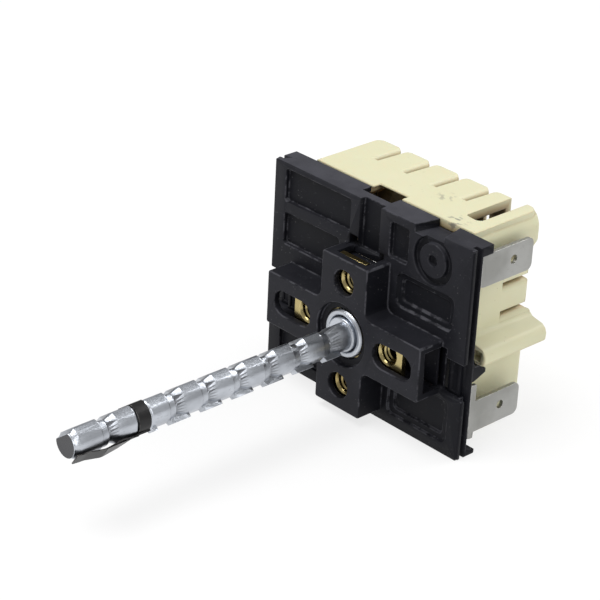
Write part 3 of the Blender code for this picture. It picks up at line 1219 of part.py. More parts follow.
def along(axis, value, centre):
    """A point at a value along an axis. centre holds its two other coordinates in order."""
    place = list(centre)
    place.insert("XYZ".index(axis), value)
    return tuple(place)


def rivet(name, axis, centre, inside, head_gap=CONTACT_SEAT, carrier=SWITCH_FRAME):
    """A rivet along an axis: inside is the span of what it holds, with a head at each end."""
    low, high = inside[0] - head_gap, inside[1] + head_gap
    start = along(axis, low - RIVET_HEAD, centre)
    shank = rod(name, RIVET_RADIUS, axis, start, high - low + 2 * RIVET_HEAD, sides=12)
    tail_radius = RIVET_HEAD_RADIUS - 0.2 * MM
    head = rod("rivet_head", RIVET_HEAD_RADIUS, axis, start, RIVET_HEAD, sides=14)
    tail = rod("rivet_tail", tail_radius, axis, along(axis, high, centre), RIVET_HEAD, tail_radius - 0.3 * MM, sides=14)
    join(shank, head, tail)
    return settle(shank, name, BRASS, carrier)


def contact(name, axis, centre, face, toward, through, carrier=SWITCH_FRAME):
    """A riveted contact: the domed head starts just off the sheet's face and points along toward.

    through is the sheet's thickness, behind which the tail is spread.
    """
    base = face + toward * CONTACT_SEAT
    body = rod(
        name, CONTACT_RADIUS, axis, along(axis, base, centre), toward * CONTACT_HEAD, CONTACT_RADIUS - 0.25 * MM, sides=14
    )
    tail_start = face - toward * (through + CONTACT_SEAT)
    shank_start = base + toward * 0.2 * MM
    shank_length = abs(shank_start - tail_start) + 0.4 * MM
    shank = rod("contact_shank", RIVET_RADIUS, axis, along(axis, shank_start, centre), -toward * shank_length, sides=12)
    tail = rod(
        "contact_tail", RIVET_RADIUS + 0.35 * MM, axis, along(axis, tail_start, centre), -toward * 0.4 * MM, sides=14
    )
    join(body, shank, tail)
    return settle(body, name, SILVER, carrier)


def rivet_hole(axis, centre, span):
    return rod("rivet_hole", RIVET_HOLE, axis, along(axis, span[0], centre), span[1] - span[0], sides=12)


SHAFT_AXIS = empty_at("shaft_axis", AXIS_PLACE, SWITCH_FRAME)
LINE_HINGE = empty_at("line_blade_root", (BLADE_X + BLADE_THICKNESS / 2, 0.0, LINE_RIVET_Z), SWITCH_FRAME)
PILOT_HINGE = empty_at("pilot_blade_root", (PILOT_ROOT_X, 0.0, PILOT_Z + BLADE_THICKNESS / 2), SWITCH_FRAME)
CYCLING_HINGE = empty_at("cycling_blade_root", (-BLADE_X - BLADE_THICKNESS / 2, 0.0, CYCLING_RIVET_Z), SWITCH_FRAME)
LEVER_PIVOT = empty_at("lever_pivot", (PIVOT_X, 0.0, PIVOT_Z), SWITCH_FRAME)
BIMETAL_ROOT = empty_at("bimetal_root", (sum(BIMETAL_X) / 2, 0.0, BIMETAL_RIVET_Z), SWITCH_FRAME)
DETENT_ROOT = empty_at("detent_root", (sum(DETENT_CLAMP) / 2, 0.0, DETENT_Z + BLADE_THICKNESS / 2), SWITCH_FRAME)


def line_switch():
    """The line pole: feed terminal, blade with a nose on the cam, contacts and the heater's terminal."""
    ear_z, reach = PILOT_EAR_Z, PILOT_ROW[1] + 0.1 * MM
    ear = box(
        "pilot_ear", (INNER_X + INSET, PILOT_CONTACT_X + 1.6 * MM), (PILOT_ROW[0] - 0.3 * MM, reach),
        (ear_z, ear_z + TAB_THICKNESS),
    )
    ear_arm = box(
        "ear_arm", (INNER_X + 2 * INSET, INNER_X + TAB_THICKNESS - INSET), (LEG_FRONT + 5 * INSET, reach - INSET),
        (ear_z + INSET, ear_z + TAB_THICKNESS - INSET),
    )
    feed_z = (LINE_RIVET_Z - 2.6 * MM, ear_z + TAB_THICKNESS - 2 * INSET)
    feed, cuts = terminal(
        1, TAB_LOW_CENTRE, INNER_X, feed_z, BLADE_ROW[1] + 0.1 * MM, foot=(TAB_FOOT_LOW, TAB_FOOT_HIGH),
        extras=(ear, ear_arm),
    )
    feed_hole = rivet_hole("X", (ROW_Y, LINE_RIVET_Z), (INNER_X - 1 * MM, INNER_X + 2 * MM))
    ear_hole = rivet_hole("Z", (PILOT_CONTACT_X, PILOT_Y), (ear_z - 1 * MM, ear_z + 2 * MM))
    cut(feed, *cuts, feed_hole, ear_hole)
    settle(feed, "line_terminal_lower", TINNED)

    contact_z = (LINE_CONTACT_Z - 2.4 * MM, LINE_CONTACT_Z + 3.8 * MM)
    drop = (contact_z[0], TAB_HIGH_CENTRE + TAB_WIDTH / 2 - 0.2 * MM)
    heater_side, cuts = terminal(1, TAB_HIGH_CENTRE, LINE_TAB_X, contact_z, BLADE_ROW[1] + 0.2 * MM, inner_drop=drop)
    hole = rivet_hole("X", (ROW_Y, LINE_CONTACT_Z), (LINE_TAB_X - 1 * MM, LINE_TAB_X + 2 * MM))
    cut(heater_side, *cuts, hole)
    settle(heater_side, "heater_terminal_right", TINNED)

    nose, x, t, axis = CAM_RADIUS + SEAT_GAP, BLADE_X, BLADE_THICKNESS, AXIS_HEIGHT
    low, high = LINE_RIVET_Z - 2.6 * MM, LINE_CONTACT_Z + 1.8 * MM
    profile = [
        (x, low), (x + t, low), (x + t, axis - 3.9 * MM), (nose + 0.55 * MM, axis - 0.3 * MM),
        (nose + 0.55 * MM, axis + 0.3 * MM), (x + t, axis + 3.9 * MM), (x + t, high), (x, high),
        (x, axis + 3.8 * MM), (nose, axis + 0.35 * MM), (nose, axis - 0.35 * MM), (x, axis - 3.8 * MM),
    ]
    blade = outline("line_blade", profile, "Y", *BLADE_ROW)
    span = (x - 1 * MM, x + 2 * MM)
    cut(blade, rivet_hole("X", (ROW_Y, LINE_RIVET_Z), span), rivet_hole("X", (ROW_Y, LINE_CONTACT_Z), span))
    settle(blade, "line_switch_blade", SPRING_BRASS, LINE_HINGE)
    rivet("line_blade_rivet", "X", (ROW_Y, LINE_RIVET_Z), (x, INNER_X + TAB_THICKNESS))
    contact("line_moving_contact", "X", (ROW_Y, LINE_CONTACT_Z), x, -1, t, LINE_HINGE)
    contact("line_fixed_contact", "X", (ROW_Y, LINE_CONTACT_Z), LINE_TAB_X + TAB_THICKNESS, 1, TAB_THICKNESS)


def pilot_switch():
    """The pilot-lamp pole: terminal with a shelf, blade under the cam, contacts."""
    z, t, root = PILOT_Z, BLADE_THICKNESS, PILOT_ROOT_X
    shelf_z = z - SEAT_GAP - TAB_THICKNESS
    shelf = box(
        "pilot_shelf", (1.2 * MM - CAVITY_HALF, 0.1 * MM - INNER_X), (LEG_FRONT + 4 * INSET, PILOT_ROW[1]),
        (shelf_z, shelf_z + TAB_THICKNESS),
    )
    feed, cuts = terminal(
        -1, TAB_LOW_CENTRE, INNER_X - 0.2 * MM, None, None, foot=(TAB_FOOT_LOW, TAB_FOOT_HIGH), extras=(shelf,)
    )
    cut(feed, *cuts, rivet_hole("Z", (root, PILOT_Y), (shelf_z - 1 * MM, shelf_z + 2 * MM)))
    settle(feed, "pilot_terminal", TINNED)

    nose = AXIS_HEIGHT - CAM_RADIUS - SEAT_GAP
    left, right = PIVOT_X - 1.2 * MM, PILOT_CONTACT_X + 1.4 * MM
    profile = [
        (left, z), (-3.0 * MM, z), (-0.3 * MM, nose - 0.5 * MM), (0.3 * MM, nose - 0.5 * MM), (3.0 * MM, z), (right, z),
        (right, z + t), (2.9 * MM, z + t), (0.35 * MM, nose), (-0.35 * MM, nose), (-2.9 * MM, z + t), (left, z + t),
    ]
    blade = outline("pilot_blade", profile, "Y", *PILOT_ROW)
    span = (z - 1 * MM, z + 2 * MM)
    cut(blade, rivet_hole("Z", (root, PILOT_Y), span), rivet_hole("Z", (PILOT_CONTACT_X, PILOT_Y), span))
    settle(blade, "pilot_switch_blade", SPRING_BRASS, PILOT_HINGE)
    rivet("pilot_blade_rivet", "Z", (root, PILOT_Y), (shelf_z, z + t))
    contact("pilot_moving_contact", "Z", (PILOT_CONTACT_X, PILOT_Y), z + t, 1, t, PILOT_HINGE)
    contact("pilot_fixed_contact", "Z", (PILOT_CONTACT_X, PILOT_Y), PILOT_EAR_Z, -1, TAB_THICKNESS)


def cycling_switch():
    """The cycling pole: feed terminal, blade that the bimetal opens, load terminal."""
    feed_z = (CYCLING_RIVET_Z - 3.0 * MM, CYCLING_RIVET_Z + 3.8 * MM)
    feed, cuts = terminal(-1, TAB_MID_CENTRE, INNER_X, feed_z, BLADE_ROW[1] + 0.1 * MM, inner_drop=feed_z)
    cut(feed, *cuts, rivet_hole("X", (ROW_Y, CYCLING_RIVET_Z), (-INNER_X - 2 * MM, -INNER_X + 1 * MM)))
    settle(feed, "line_terminal_left", TINNED)

    inner = CYCLING_TAB_X
    load_z = (CYCLING_CONTACT_Z - 3.0 * MM, CYCLING_CONTACT_Z + 3.0 * MM)
    drop = (load_z[0], TAB_HIGH_CENTRE + TAB_WIDTH / 2 - 0.2 * MM)
    load, cuts = terminal(-1, TAB_HIGH_CENTRE, inner, load_z, BLADE_ROW[1] + 0.2 * MM, inner_drop=drop)
    cut(load, *cuts, rivet_hole("X", (ROW_Y, CYCLING_CONTACT_Z), (-inner - 2 * MM, -inner + 1 * MM)))
    settle(load, "heater_terminal_left", TINNED)

    x, t = -BLADE_X - BLADE_THICKNESS, BLADE_THICKNESS
    front, back = BLADE_ROW
    low, low_wing, wing, high = (
        CYCLING_RIVET_Z - 2.6 * MM, CYCLING_CONTACT_Z + 2.0 * MM, TRANSFER_Z - 1.2 * MM, TRANSFER_Z + 1.2 * MM
    )
    side = [
        (front, low), (back, low), (back, low_wing), (back + 0.8 * MM, wing), (LEVER_ROW[1] - 0.4 * MM, wing),
        (LEVER_ROW[1] - 0.4 * MM, high), (front, high),
    ]
    blade = outline("cycling_blade", side, "X", x, x + t)
    span = (x - 1 * MM, x + 2 * MM)
    cut(blade, rivet_hole("X", (ROW_Y, CYCLING_RIVET_Z), span), rivet_hole("X", (ROW_Y, CYCLING_CONTACT_Z), span))
    settle(blade, "cycling_blade", SPRING_BRASS, CYCLING_HINGE)
    rivet("cycling_blade_rivet", "X", (ROW_Y, CYCLING_RIVET_Z), (-INNER_X - TAB_THICKNESS, x + t))
    contact("cycling_moving_contact", "X", (ROW_Y, CYCLING_CONTACT_Z), x, -1, t, CYCLING_HINGE)
    contact("cycling_fixed_contact", "X", (ROW_Y, CYCLING_CONTACT_Z), -inner, 1, TAB_THICKNESS)


def adjusting_lever():
    """The lever that the heat spiral tilts, on its pin, with the calibration screw and the bimetal's rivet."""
    tip, z, x = -CAM_RADIUS - SEAT_GAP, AXIS_HEIGHT, PIVOT_X
    outer, inner = x + 0.4 * MM, x + 2.6 * MM
    arm = [
        (outer, PIVOT_Z - 1.2 * MM), (inner, PIVOT_Z - 1.2 * MM), (inner, PIVOT_Z + 4.7 * MM),
        (tip - 1.3 * MM, z - 2.2 * MM), (tip, z - 0.5 * MM), (tip, z + 0.5 * MM), (tip - 0.8 * MM, z + 1.3 * MM),
        (x + 2.0 * MM, z - 1.9 * MM), (outer, z - 2.1 * MM),
    ]
    lever = outline("lever", arm, "Y", *LEVER_ROW)
    front, back = LEVER_ROW
    eye = bored("lever_eye", PIN_RADIUS + 1.4 * MM, front + 0.1 * MM, PIVOT_Z, x, back - front - 0.2 * MM, 24)
    join(lever, eye)
    seat_face = BIMETAL_X[1] + 0.35 * MM
    clear = box(
        "bimetal_seat", (x - 2.8 * MM, seat_face), (front - 1 * MM, back + 1 * MM),
        (BIMETAL_Z[0] - SEAT_GAP, CALIBRATION_Z - 0.4 * MM),
    )
    pivot = bored("pivot_hole", PIN_RADIUS + 0.08 * MM, front - 1 * MM, PIVOT_Z, x, 6 * MM, 20)
    screw_hole = rod("calibration_hole", 0.85 * MM, "X", (x - 0.8 * MM, LEVER_Y, CALIBRATION_Z), 2.9 * MM, sides=12)
    rivet_bore = rivet_hole("X", (LEVER_Y, BIMETAL_RIVET_Z), (x - 0.8 * MM, x + 5.2 * MM))
    cut(lever, clear, pivot, screw_hole, rivet_bore)
    settle(lever, "adjusting_lever", CAM_PLASTIC, LEVER_PIVOT)

    pin_front = front - 0.1 * MM
    pin = bored("lever_pin", PIN_RADIUS, pin_front, PIVOT_Z, x, HOUSING_BACK - 1.0 * MM - pin_front, 16)
    settle(pin, "lever_pivot_pin", PLATED_STEEL)

    screw = rod("screw_shank", 0.75 * MM, "X", (x - 1.4 * MM, LEVER_Y, CALIBRATION_Z), 3.3 * MM, sides=12)
    head = rod("screw_head", 1.5 * MM, "X", (x - 1.8 * MM, LEVER_Y, CALIBRATION_Z), 0.9 * MM, sides=16)
    join(screw, head)
    slot = box(
        "screw_slot", (x - 2.3 * MM, x - 1.4 * MM), (LEVER_Y - 0.25 * MM, LEVER_Y + 0.25 * MM),
        (CALIBRATION_Z - 2 * MM, CALIBRATION_Z + 2 * MM),
    )
    cut(screw, slot)
    settle(screw, "calibration_screw", PLATED_STEEL, LEVER_PIVOT)
    rivet("bimetal_rivet", "X", (LEVER_Y, BIMETAL_RIVET_Z), (BIMETAL_X[0], inner), carrier=LEVER_PIVOT)


def cycling_bimetal():
    """The bimetal with its insulating sleeve, wound heater and transfer pin."""
    blade = box("bimetal", BIMETAL_X, BIMETAL_ROW, BIMETAL_Z)
    span = (BIMETAL_X[0] - 1 * MM, BIMETAL_X[1] + 1 * MM)
    holes = [
        rivet_hole("X", (LEVER_Y, BIMETAL_RIVET_Z), span),
        rod("screw_clear", 0.95 * MM, "X", (span[0], LEVER_Y, CALIBRATION_Z), 3 * MM, sides=12),
        rivet_hole("X", (LEVER_Y, TRANSFER_Z), span),
    ]
    cut(blade, *holes)
    settle(blade, "bimetal_blade", BIMETAL, BIMETAL_ROOT)

    inner_x = (BIMETAL_X[0] - SLEEVE_GAP, BIMETAL_X[1] + SLEEVE_GAP)
    inner_y = (BIMETAL_ROW[0] - SLEEVE_GAP, BIMETAL_ROW[1] + SLEEVE_GAP)
    outer_x = (inner_x[0] - SLEEVE_WALL, inner_x[1] + SLEEVE_WALL)
    outer_y = (inner_y[0] - SLEEVE_WALL, inner_y[1] + SLEEVE_WALL)
    sleeve = box("sleeve", outer_x, outer_y, SLEEVE_Z)
    cut(sleeve, box("sleeve_hollow", inner_x, inner_y, (SLEEVE_Z[0] - 1 * MM, SLEEVE_Z[1] + 1 * MM)))
    settle(sleeve, "heater_insulator", MICA, BIMETAL_ROOT)

    gap = HEATER_WIRE + 0.12 * MM
    x = (outer_x[0] - gap, outer_x[1] + gap)
    y = (outer_y[0] - gap, outer_y[1] + gap)
    corners = [(x[0], y[0]), (x[1], y[0]), (x[1], y[1]), (x[0], y[1])]
    low, high = SLEEVE_Z[0] + 0.8 * MM, SLEEVE_Z[1] - 0.8 * MM
    count = HEATER_TURNS * 4
    points = [Vector((*corners[k % 4], low + (high - low) * k / count)) for k in range(count + 1)]
    softened = [points[0]]
    for before, here, after in zip(points, points[1:], points[2:]):
        softened.append(here + (before - here).normalized() * 0.4 * MM)
        softened.append(here + (after - here).normalized() * 0.4 * MM)
    softened.append(points[-1])
    settle(wire("heater", softened, HEATER_WIRE, 1), "heater_ribbon", HEATER_METAL, BIMETAL_ROOT)

    outer, inner = BIMETAL_X
    pin = rod("transfer", RIVET_RADIUS, "X", (outer - 0.5 * MM, LEVER_Y, TRANSFER_Z), 2.0 * MM, sides=12)
    head = rod("transfer_head", 1.2 * MM, "X", (outer - 0.6 * MM, LEVER_Y, TRANSFER_Z), 0.5 * MM, sides=14)
    body = rod("transfer_body", 1.1 * MM, "X", (inner + 0.1 * MM, LEVER_Y, TRANSFER_Z), 2.1 * MM, sides=14)
    point = rod("transfer_point", 1.1 * MM, "X", (inner + 2.15 * MM, LEVER_Y, TRANSFER_Z), 0.55 * MM, 0.6 * MM, sides=14)
    join(pin, head, body, point)
    settle(pin, "transfer_pin", MICA, BIMETAL_ROOT)


def detent_spring():
    """The leaf that rides on the cam's flange and drops into its notch at off."""
    z, t, root = DETENT_Z, BLADE_THICKNESS, DETENT_CLAMP[0] + 0.2 * MM
    nose = AXIS_HEIGHT + CAM_RADIUS + SEAT_GAP
    profile = [
        (root, z), (-2.4 * MM, z), (-0.5 * MM, nose), (0.5 * MM, nose), (2.6 * MM, z), (3.6 * MM, z + 0.5 * MM),
        (3.4 * MM, z + 0.9 * MM), (2.4 * MM, z + t), (0.4 * MM, nose + 0.5 * MM), (-0.4 * MM, nose + 0.5 * MM),
        (-2.2 * MM, z + t), (root, z + t),
    ]
    leaf = outline("detent", profile, "Y", DETENT_TRACK[0] + 0.2 * MM, DETENT_TRACK[1] - 0.2 * MM)
    return settle(leaf, "detent_spring", PLATED_STEEL, DETENT_ROOT)


front_cover()
rear_housing()
mounting_plate()
shaft_bushing()
shaft()
knob_clip()
retaining_ring()
return_spring()
cam()
line_switch()
pilot_switch()
cycling_switch()
adjusting_lever()
cycling_bimetal()
detent_spring()
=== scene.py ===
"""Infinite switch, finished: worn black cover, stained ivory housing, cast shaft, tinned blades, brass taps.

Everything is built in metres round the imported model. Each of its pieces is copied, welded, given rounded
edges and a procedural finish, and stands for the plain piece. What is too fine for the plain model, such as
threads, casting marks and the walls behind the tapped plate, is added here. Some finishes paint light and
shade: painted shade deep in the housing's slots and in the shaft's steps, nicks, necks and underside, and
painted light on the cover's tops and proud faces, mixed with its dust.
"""

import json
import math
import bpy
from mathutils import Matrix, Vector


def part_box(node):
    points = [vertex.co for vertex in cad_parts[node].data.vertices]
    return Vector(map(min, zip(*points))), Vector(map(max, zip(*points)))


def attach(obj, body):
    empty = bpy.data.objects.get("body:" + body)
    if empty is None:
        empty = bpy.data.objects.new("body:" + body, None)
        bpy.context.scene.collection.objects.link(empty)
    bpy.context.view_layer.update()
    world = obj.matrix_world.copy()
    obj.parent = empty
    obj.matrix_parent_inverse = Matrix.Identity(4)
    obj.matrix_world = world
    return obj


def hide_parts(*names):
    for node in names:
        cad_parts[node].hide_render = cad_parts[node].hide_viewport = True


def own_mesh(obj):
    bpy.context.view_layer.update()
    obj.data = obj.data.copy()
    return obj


bl_info = {
    "name": "Infinite switch finish",
    "version": (1, 0, 0),
    "blender": (4, 5, 0),
    "location": "3D View > Sidebar > Switch",
    "description": "Builds the finished infinite switch and its studio round the packed model",
    "category": "Object",
}

import bmesh
import bpy
from bpy.props import FloatProperty, FloatVectorProperty, IntProperty, PointerProperty
from mathutils import Matrix, Vector
from mathutils.bvhtree import BVHTree
from mathutils.geometry import intersect_line_line_2d, intersect_point_line

MM = 0.001

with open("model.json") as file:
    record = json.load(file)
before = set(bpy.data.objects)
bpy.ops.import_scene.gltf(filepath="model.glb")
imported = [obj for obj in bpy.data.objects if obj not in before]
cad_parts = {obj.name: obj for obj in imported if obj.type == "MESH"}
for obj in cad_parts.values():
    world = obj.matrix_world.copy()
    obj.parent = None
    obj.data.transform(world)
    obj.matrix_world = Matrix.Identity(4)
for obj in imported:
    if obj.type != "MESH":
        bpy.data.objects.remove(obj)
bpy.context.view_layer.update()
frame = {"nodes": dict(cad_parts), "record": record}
NODE_BODY = {node: body for body, nodes in frame["record"]["behaviour"]["bodies"].items() for node in nodes}
NODE_SLOT = {row["node"]: row["material_slot"] for row in frame["record"]["subparts"]}


def drawn(place):
    """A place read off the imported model, rounded to the micrometre at which it was drawn."""
    return round(place, 6)


# Places that the fine work is worked out from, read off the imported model
COVER_LOW, COVER_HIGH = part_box("front_cover")
HOUSING_LOW, HOUSING_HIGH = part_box("rear_housing")
PLATE_LOW, PLATE_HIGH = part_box("mounting_plate")
BUSH_LOW, BUSH_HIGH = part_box("shaft_bushing")
SHAFT_TIP = drawn(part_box("shaft")[0].y)
AXIS_HEIGHT = (BUSH_LOW.z + BUSH_HIGH.z) / 2
BOSS_HEIGHT = 5.7 * MM
COVER_FACE = drawn(COVER_LOW.y) + BOSS_HEIGHT

# Photograph's camera: degrees, millimetres of lens, and metres from the point it looks at
CAMERA_AZIMUTH = 46.04
CAMERA_ELEVATION = 26.99
CAMERA_ROLL = 2.88
CAMERA_DISTANCE = 0.41495
CAMERA_TARGET = Vector((-0.01683, 0.0227, 0.01527))
CAMERA_LENS = 133.16
CAMERA_SENSOR = 36.0
CAMERA_NEAR = 0.01

# Studio: metres and watts
LAMP_TARGET = Vector((0.0, 0.0, 0.02))
LAMPS = (
    ("key_softbox", (-0.15, -0.30, 0.85), (0.5, 0.5), 6.2),
    ("right_softbox", (0.75, -0.15, 0.45), (0.4, 0.6), 2.0),
    ("back_softbox", (0.15, 0.7, 0.6), (0.6, 0.3), 3.0),
)
AIR_STRENGTH = 0.42
FLOOR_SIZE = 6.0
FLOOR_GAP = 0.02 * MM
PAPER_SHADE = 0.86
PAPER_GLOW = 0.75


class SwitchSizes(bpy.types.PropertyGroup):
    """Sizes of the fine work that a user would change."""

    moulded_round: FloatProperty(
        name="Moulded edge", description="Width of the rounded edges on the two mouldings",
        default=0.22 * MM, min=0.0, max=0.5 * MM, precision=5, subtype="DISTANCE", unit="LENGTH",
    )
    cast_round: FloatProperty(
        name="Cast edge", description="Width of the rounded edges on the cast shaft",
        default=0.05 * MM, min=0.0, max=0.3 * MM, precision=5, subtype="DISTANCE", unit="LENGTH",
    )
    sheet_round: FloatProperty(
        name="Stamped edge", description="Width of the rounded edges on stamped sheet",
        default=0.07 * MM, min=0.0, max=0.2 * MM, precision=5, subtype="DISTANCE", unit="LENGTH",
    )
    small_round: FloatProperty(
        name="Small edge", description="Width of the rounded edges on the small inner pieces",
        default=0.06 * MM, min=0.0, max=0.2 * MM, precision=5, subtype="DISTANCE", unit="LENGTH",
    )
    thread_pitch: FloatProperty(
        name="Thread pitch", description="Pitch of the tapped holes' threads",
        default=0.8 * MM, min=0.3 * MM, max=1.5 * MM, precision=5, subtype="DISTANCE", unit="LENGTH",
    )
    thread_depth: FloatProperty(
        name="Thread depth", description="How far the threads stand into the tapped holes",
        default=0.28 * MM, min=0.1 * MM, max=0.5 * MM, precision=5, subtype="DISTANCE", unit="LENGTH",
    )
    edge_segments: IntProperty(
        name="Edge segments", description="Faces across a rounded edge of the two mouldings",
        default=2, min=1, max=4,
    )


class SwitchFinishes(bpy.types.PropertyGroup):
    """Colours that a user would change."""

    black: FloatVectorProperty(
        name="Black", description="Cover's phenolic", subtype="COLOR", size=3,
        default=(0.0042, 0.0044, 0.0064),
    )
    ivory: FloatVectorProperty(
        name="Ivory", description="Housing's phenolic", subtype="COLOR", size=3,
        default=(0.62, 0.605, 0.42),
    )
    # Colour of the tan staining on worn edges, and of the staining and painted shade in the housing's slots
    stain_and_shade: FloatVectorProperty(
        name="Stain", description="Tan stain in the housing's slots", subtype="COLOR", size=3,
        default=(0.46, 0.33, 0.16),
    )
    zinc: FloatVectorProperty(
        name="Cast metal", description="Shaft and bushing", subtype="COLOR", size=3,
        default=(0.58, 0.61, 0.66),
    )
    tin: FloatVectorProperty(
        name="Tin", description="Blade terminals", subtype="COLOR", size=3,
        default=(0.40, 0.40, 0.385),
    )
    brass: FloatVectorProperty(
        name="Brass", description="Mounting plate and rivets", subtype="COLOR", size=3,
        default=(0.50, 0.41, 0.19),
    )
    bronze: FloatVectorProperty(
        name="Bronze", description="Contact blades", subtype="COLOR", size=3,
        default=(0.74, 0.48, 0.26),
    )
    red: FloatVectorProperty(
        name="Red", description="Cam and lever", subtype="COLOR", size=3,
        default=(0.50, 0.07, 0.05),
    )


def sizes():
    return bpy.context.scene.switch_sizes


def finishes():
    return bpy.context.scene.switch_finishes


def clamped(value):
    return max(0.0, min(1.0, value))


# Shader node groups

def group_shell(name, inputs, outputs):
    """A node group on a vector, with its other inputs' defaults and its float outputs, and its end nodes."""
    tree = bpy.data.node_groups.new(name, "ShaderNodeTree")
    tree.interface.new_socket("Vector", in_out="INPUT", socket_type="NodeSocketVector")
    for label, value in inputs.items():
        kind = "NodeSocketFloat" if isinstance(value, float) else "NodeSocketVector"
        tree.interface.new_socket(label, in_out="INPUT", socket_type=kind).default_value = value
    for label in outputs:
        tree.interface.new_socket(label, in_out="OUTPUT", socket_type="NodeSocketFloat")
    return tree, tree.nodes.new("NodeGroupInput"), tree.nodes.new("NodeGroupOutput")


def ramp_between(tree, value, low, high):
    """A smooth step of a value from 0 at low to 1 at high, each a number or a socket."""
    node = tree.nodes.new("ShaderNodeMapRange")
    node.interpolation_type = "SMOOTHSTEP"
    tree.links.new(value, node.inputs["Value"])
    for label, edge in (("From Min", low), ("From Max", high)):
        if isinstance(edge, (int, float)):
            node.inputs[label].default_value = edge
        else:
            tree.links.new(edge, node.inputs[label])
    return node.outputs["Result"]


def math_node(tree, operation, first, second=None):
    node = tree.nodes.new("ShaderNodeMath")
    node.operation = operation
    for socket, value in zip(node.inputs, (first, second)):
        if value is None:
            continue
        if isinstance(value, (int, float)):
            socket.default_value = value
        else:
            tree.links.new(value, socket)
    return node.outputs["Value"]


def noise(tree, vector, scale, detail=4.0, roughness=0.55):
    node = tree.nodes.new("ShaderNodeTexNoise")
    node.inputs["Detail"].default_value = detail
    node.inputs["Roughness"].default_value = roughness
    tree.links.new(vector, node.inputs["Vector"])
    if isinstance(scale, (int, float)):
        node.inputs["Scale"].default_value = scale
    else:
        tree.links.new(scale, node.inputs["Scale"])
    return node.outputs["Fac"]


def mesh_mark(tree, name):
    """One of the values that the pieces carry on their faces or points."""
    node = tree.nodes.new("ShaderNodeAttribute")
    node.attribute_name = name
    return node.outputs["Fac"]


WEAR_CLEAN = 0.75
WEAR_BLEND = 0.12


def make_edge_wear():
    """Edge wear: a broken mask on the rounded edges. Spread is how much of each edge is worn."""
    tree, start, end = group_shell("edge_wear", {"Spread": 0.5, "Scale": 0.6}, ["Mask"])
    edge = mesh_mark(tree, "worn_edge")
    breaks = noise(tree, start.outputs["Vector"], start.outputs["Scale"], detail=5.0, roughness=0.65)
    low = math_node(tree, "SUBTRACT", WEAR_CLEAN, math_node(tree, "MULTIPLY", start.outputs["Spread"], 0.5))
    worn = ramp_between(tree, breaks, low, math_node(tree, "ADD", low, WEAR_BLEND))
    tree.links.new(math_node(tree, "MULTIPLY", edge, worn), end.inputs["Mask"])
    return tree


SLOW_SHARE = 0.06


def make_grain():
    """Fine grain: a height for the bump, and a slow value for the roughness."""
    tree, start, end = group_shell("fine_grain", {"Scale": 5.0}, ["Height", "Slow"])
    fine = noise(tree, start.outputs["Vector"], start.outputs["Scale"], detail=3.0, roughness=0.6)
    slow_scale = math_node(tree, "MULTIPLY", start.outputs["Scale"], SLOW_SHARE)
    slow = noise(tree, start.outputs["Vector"], slow_scale, detail=3.0, roughness=0.5)
    tree.links.new(fine, end.inputs["Height"])
    tree.links.new(slow, end.inputs["Slow"])
    return tree


def make_specks():
    """Scattered specks of dust or flash: a mask of small dots with an uneven size."""
    tree, start, end = group_shell("specks", {"Scale": 1.2, "Size": 0.1}, ["Mask"])
    cells = tree.nodes.new("ShaderNodeTexVoronoi")
    tree.links.new(start.outputs["Vector"], cells.inputs["Vector"])
    tree.links.new(start.outputs["Scale"], cells.inputs["Scale"])
    patches = ramp_between(tree, noise(tree, start.outputs["Vector"], 0.22, detail=2.0), low=0.42, high=0.62)
    size = math_node(tree, "MULTIPLY", start.outputs["Size"], patches)
    dots = math_node(tree, "LESS_THAN", cells.outputs["Distance"], size)
    tree.links.new(dots, end.inputs["Mask"])
    return tree


NOISE_MIDDLE = 0.5
NO_STRETCH = (1.0, 1.0, 1.0)


def make_scratches():
    """Fine scratches: a mask of thin broken lines that run along a stretched direction."""
    inputs = {"Stretch": NO_STRETCH, "Scale": 2.0, "Width": 0.03}
    tree, start, end = group_shell("scratches", inputs, ["Mask"])
    stretch = tree.nodes.new("ShaderNodeVectorMath")
    stretch.operation = "MULTIPLY"
    tree.links.new(start.outputs["Vector"], stretch.inputs[0])
    tree.links.new(start.outputs["Stretch"], stretch.inputs[1])
    lines = noise(tree, stretch.outputs["Vector"], start.outputs["Scale"], detail=2.0, roughness=0.5)
    off = math_node(tree, "ABSOLUTE", math_node(tree, "SUBTRACT", lines, NOISE_MIDDLE))
    thin = math_node(tree, "SUBTRACT", 1.0, ramp_between(tree, off, 0.0, start.outputs["Width"]))
    breaks = ramp_between(tree, noise(tree, start.outputs["Vector"], 0.9, detail=3.0), low=0.5, high=0.62)
    tree.links.new(math_node(tree, "MULTIPLY", thin, breaks), end.inputs["Mask"])
    return tree


GROUP_MAKERS = {
    "edge_wear": make_edge_wear,
    "fine_grain": make_grain,
    "specks": make_specks,
    "scratches": make_scratches,
}


def group(tree, name, vector, **values):
    """Place one of the shared groups in a material, with its own values."""
    node = tree.nodes.new("ShaderNodeGroup")
    node.node_tree = bpy.data.node_groups.get(name) or GROUP_MAKERS[name]()
    tree.links.new(vector, node.inputs["Vector"])
    for label, value in values.items():
        node.inputs[label.title()].default_value = value
    return node


# Materials

def blank_material(name):
    """A material with one Principled BSDF, and its place in millimetres as a vector."""
    material = bpy.data.materials.new(name)
    material.use_nodes = True
    tree = material.node_tree
    place = tree.nodes.new("ShaderNodeTexCoord")
    in_mm = tree.nodes.new("ShaderNodeMapping")
    in_mm.inputs["Scale"].default_value = (1 / MM, 1 / MM, 1 / MM)
    tree.links.new(place.outputs["Object"], in_mm.inputs["Vector"])
    return material, tree, tree.nodes["Principled BSDF"], in_mm.outputs["Vector"]


def toned(colour, tone):
    """A colour times a number, or times a colour."""
    tones = (tone,) * 3 if isinstance(tone, float) else tone
    return [channel * share for channel, share in zip(colour, tones)]


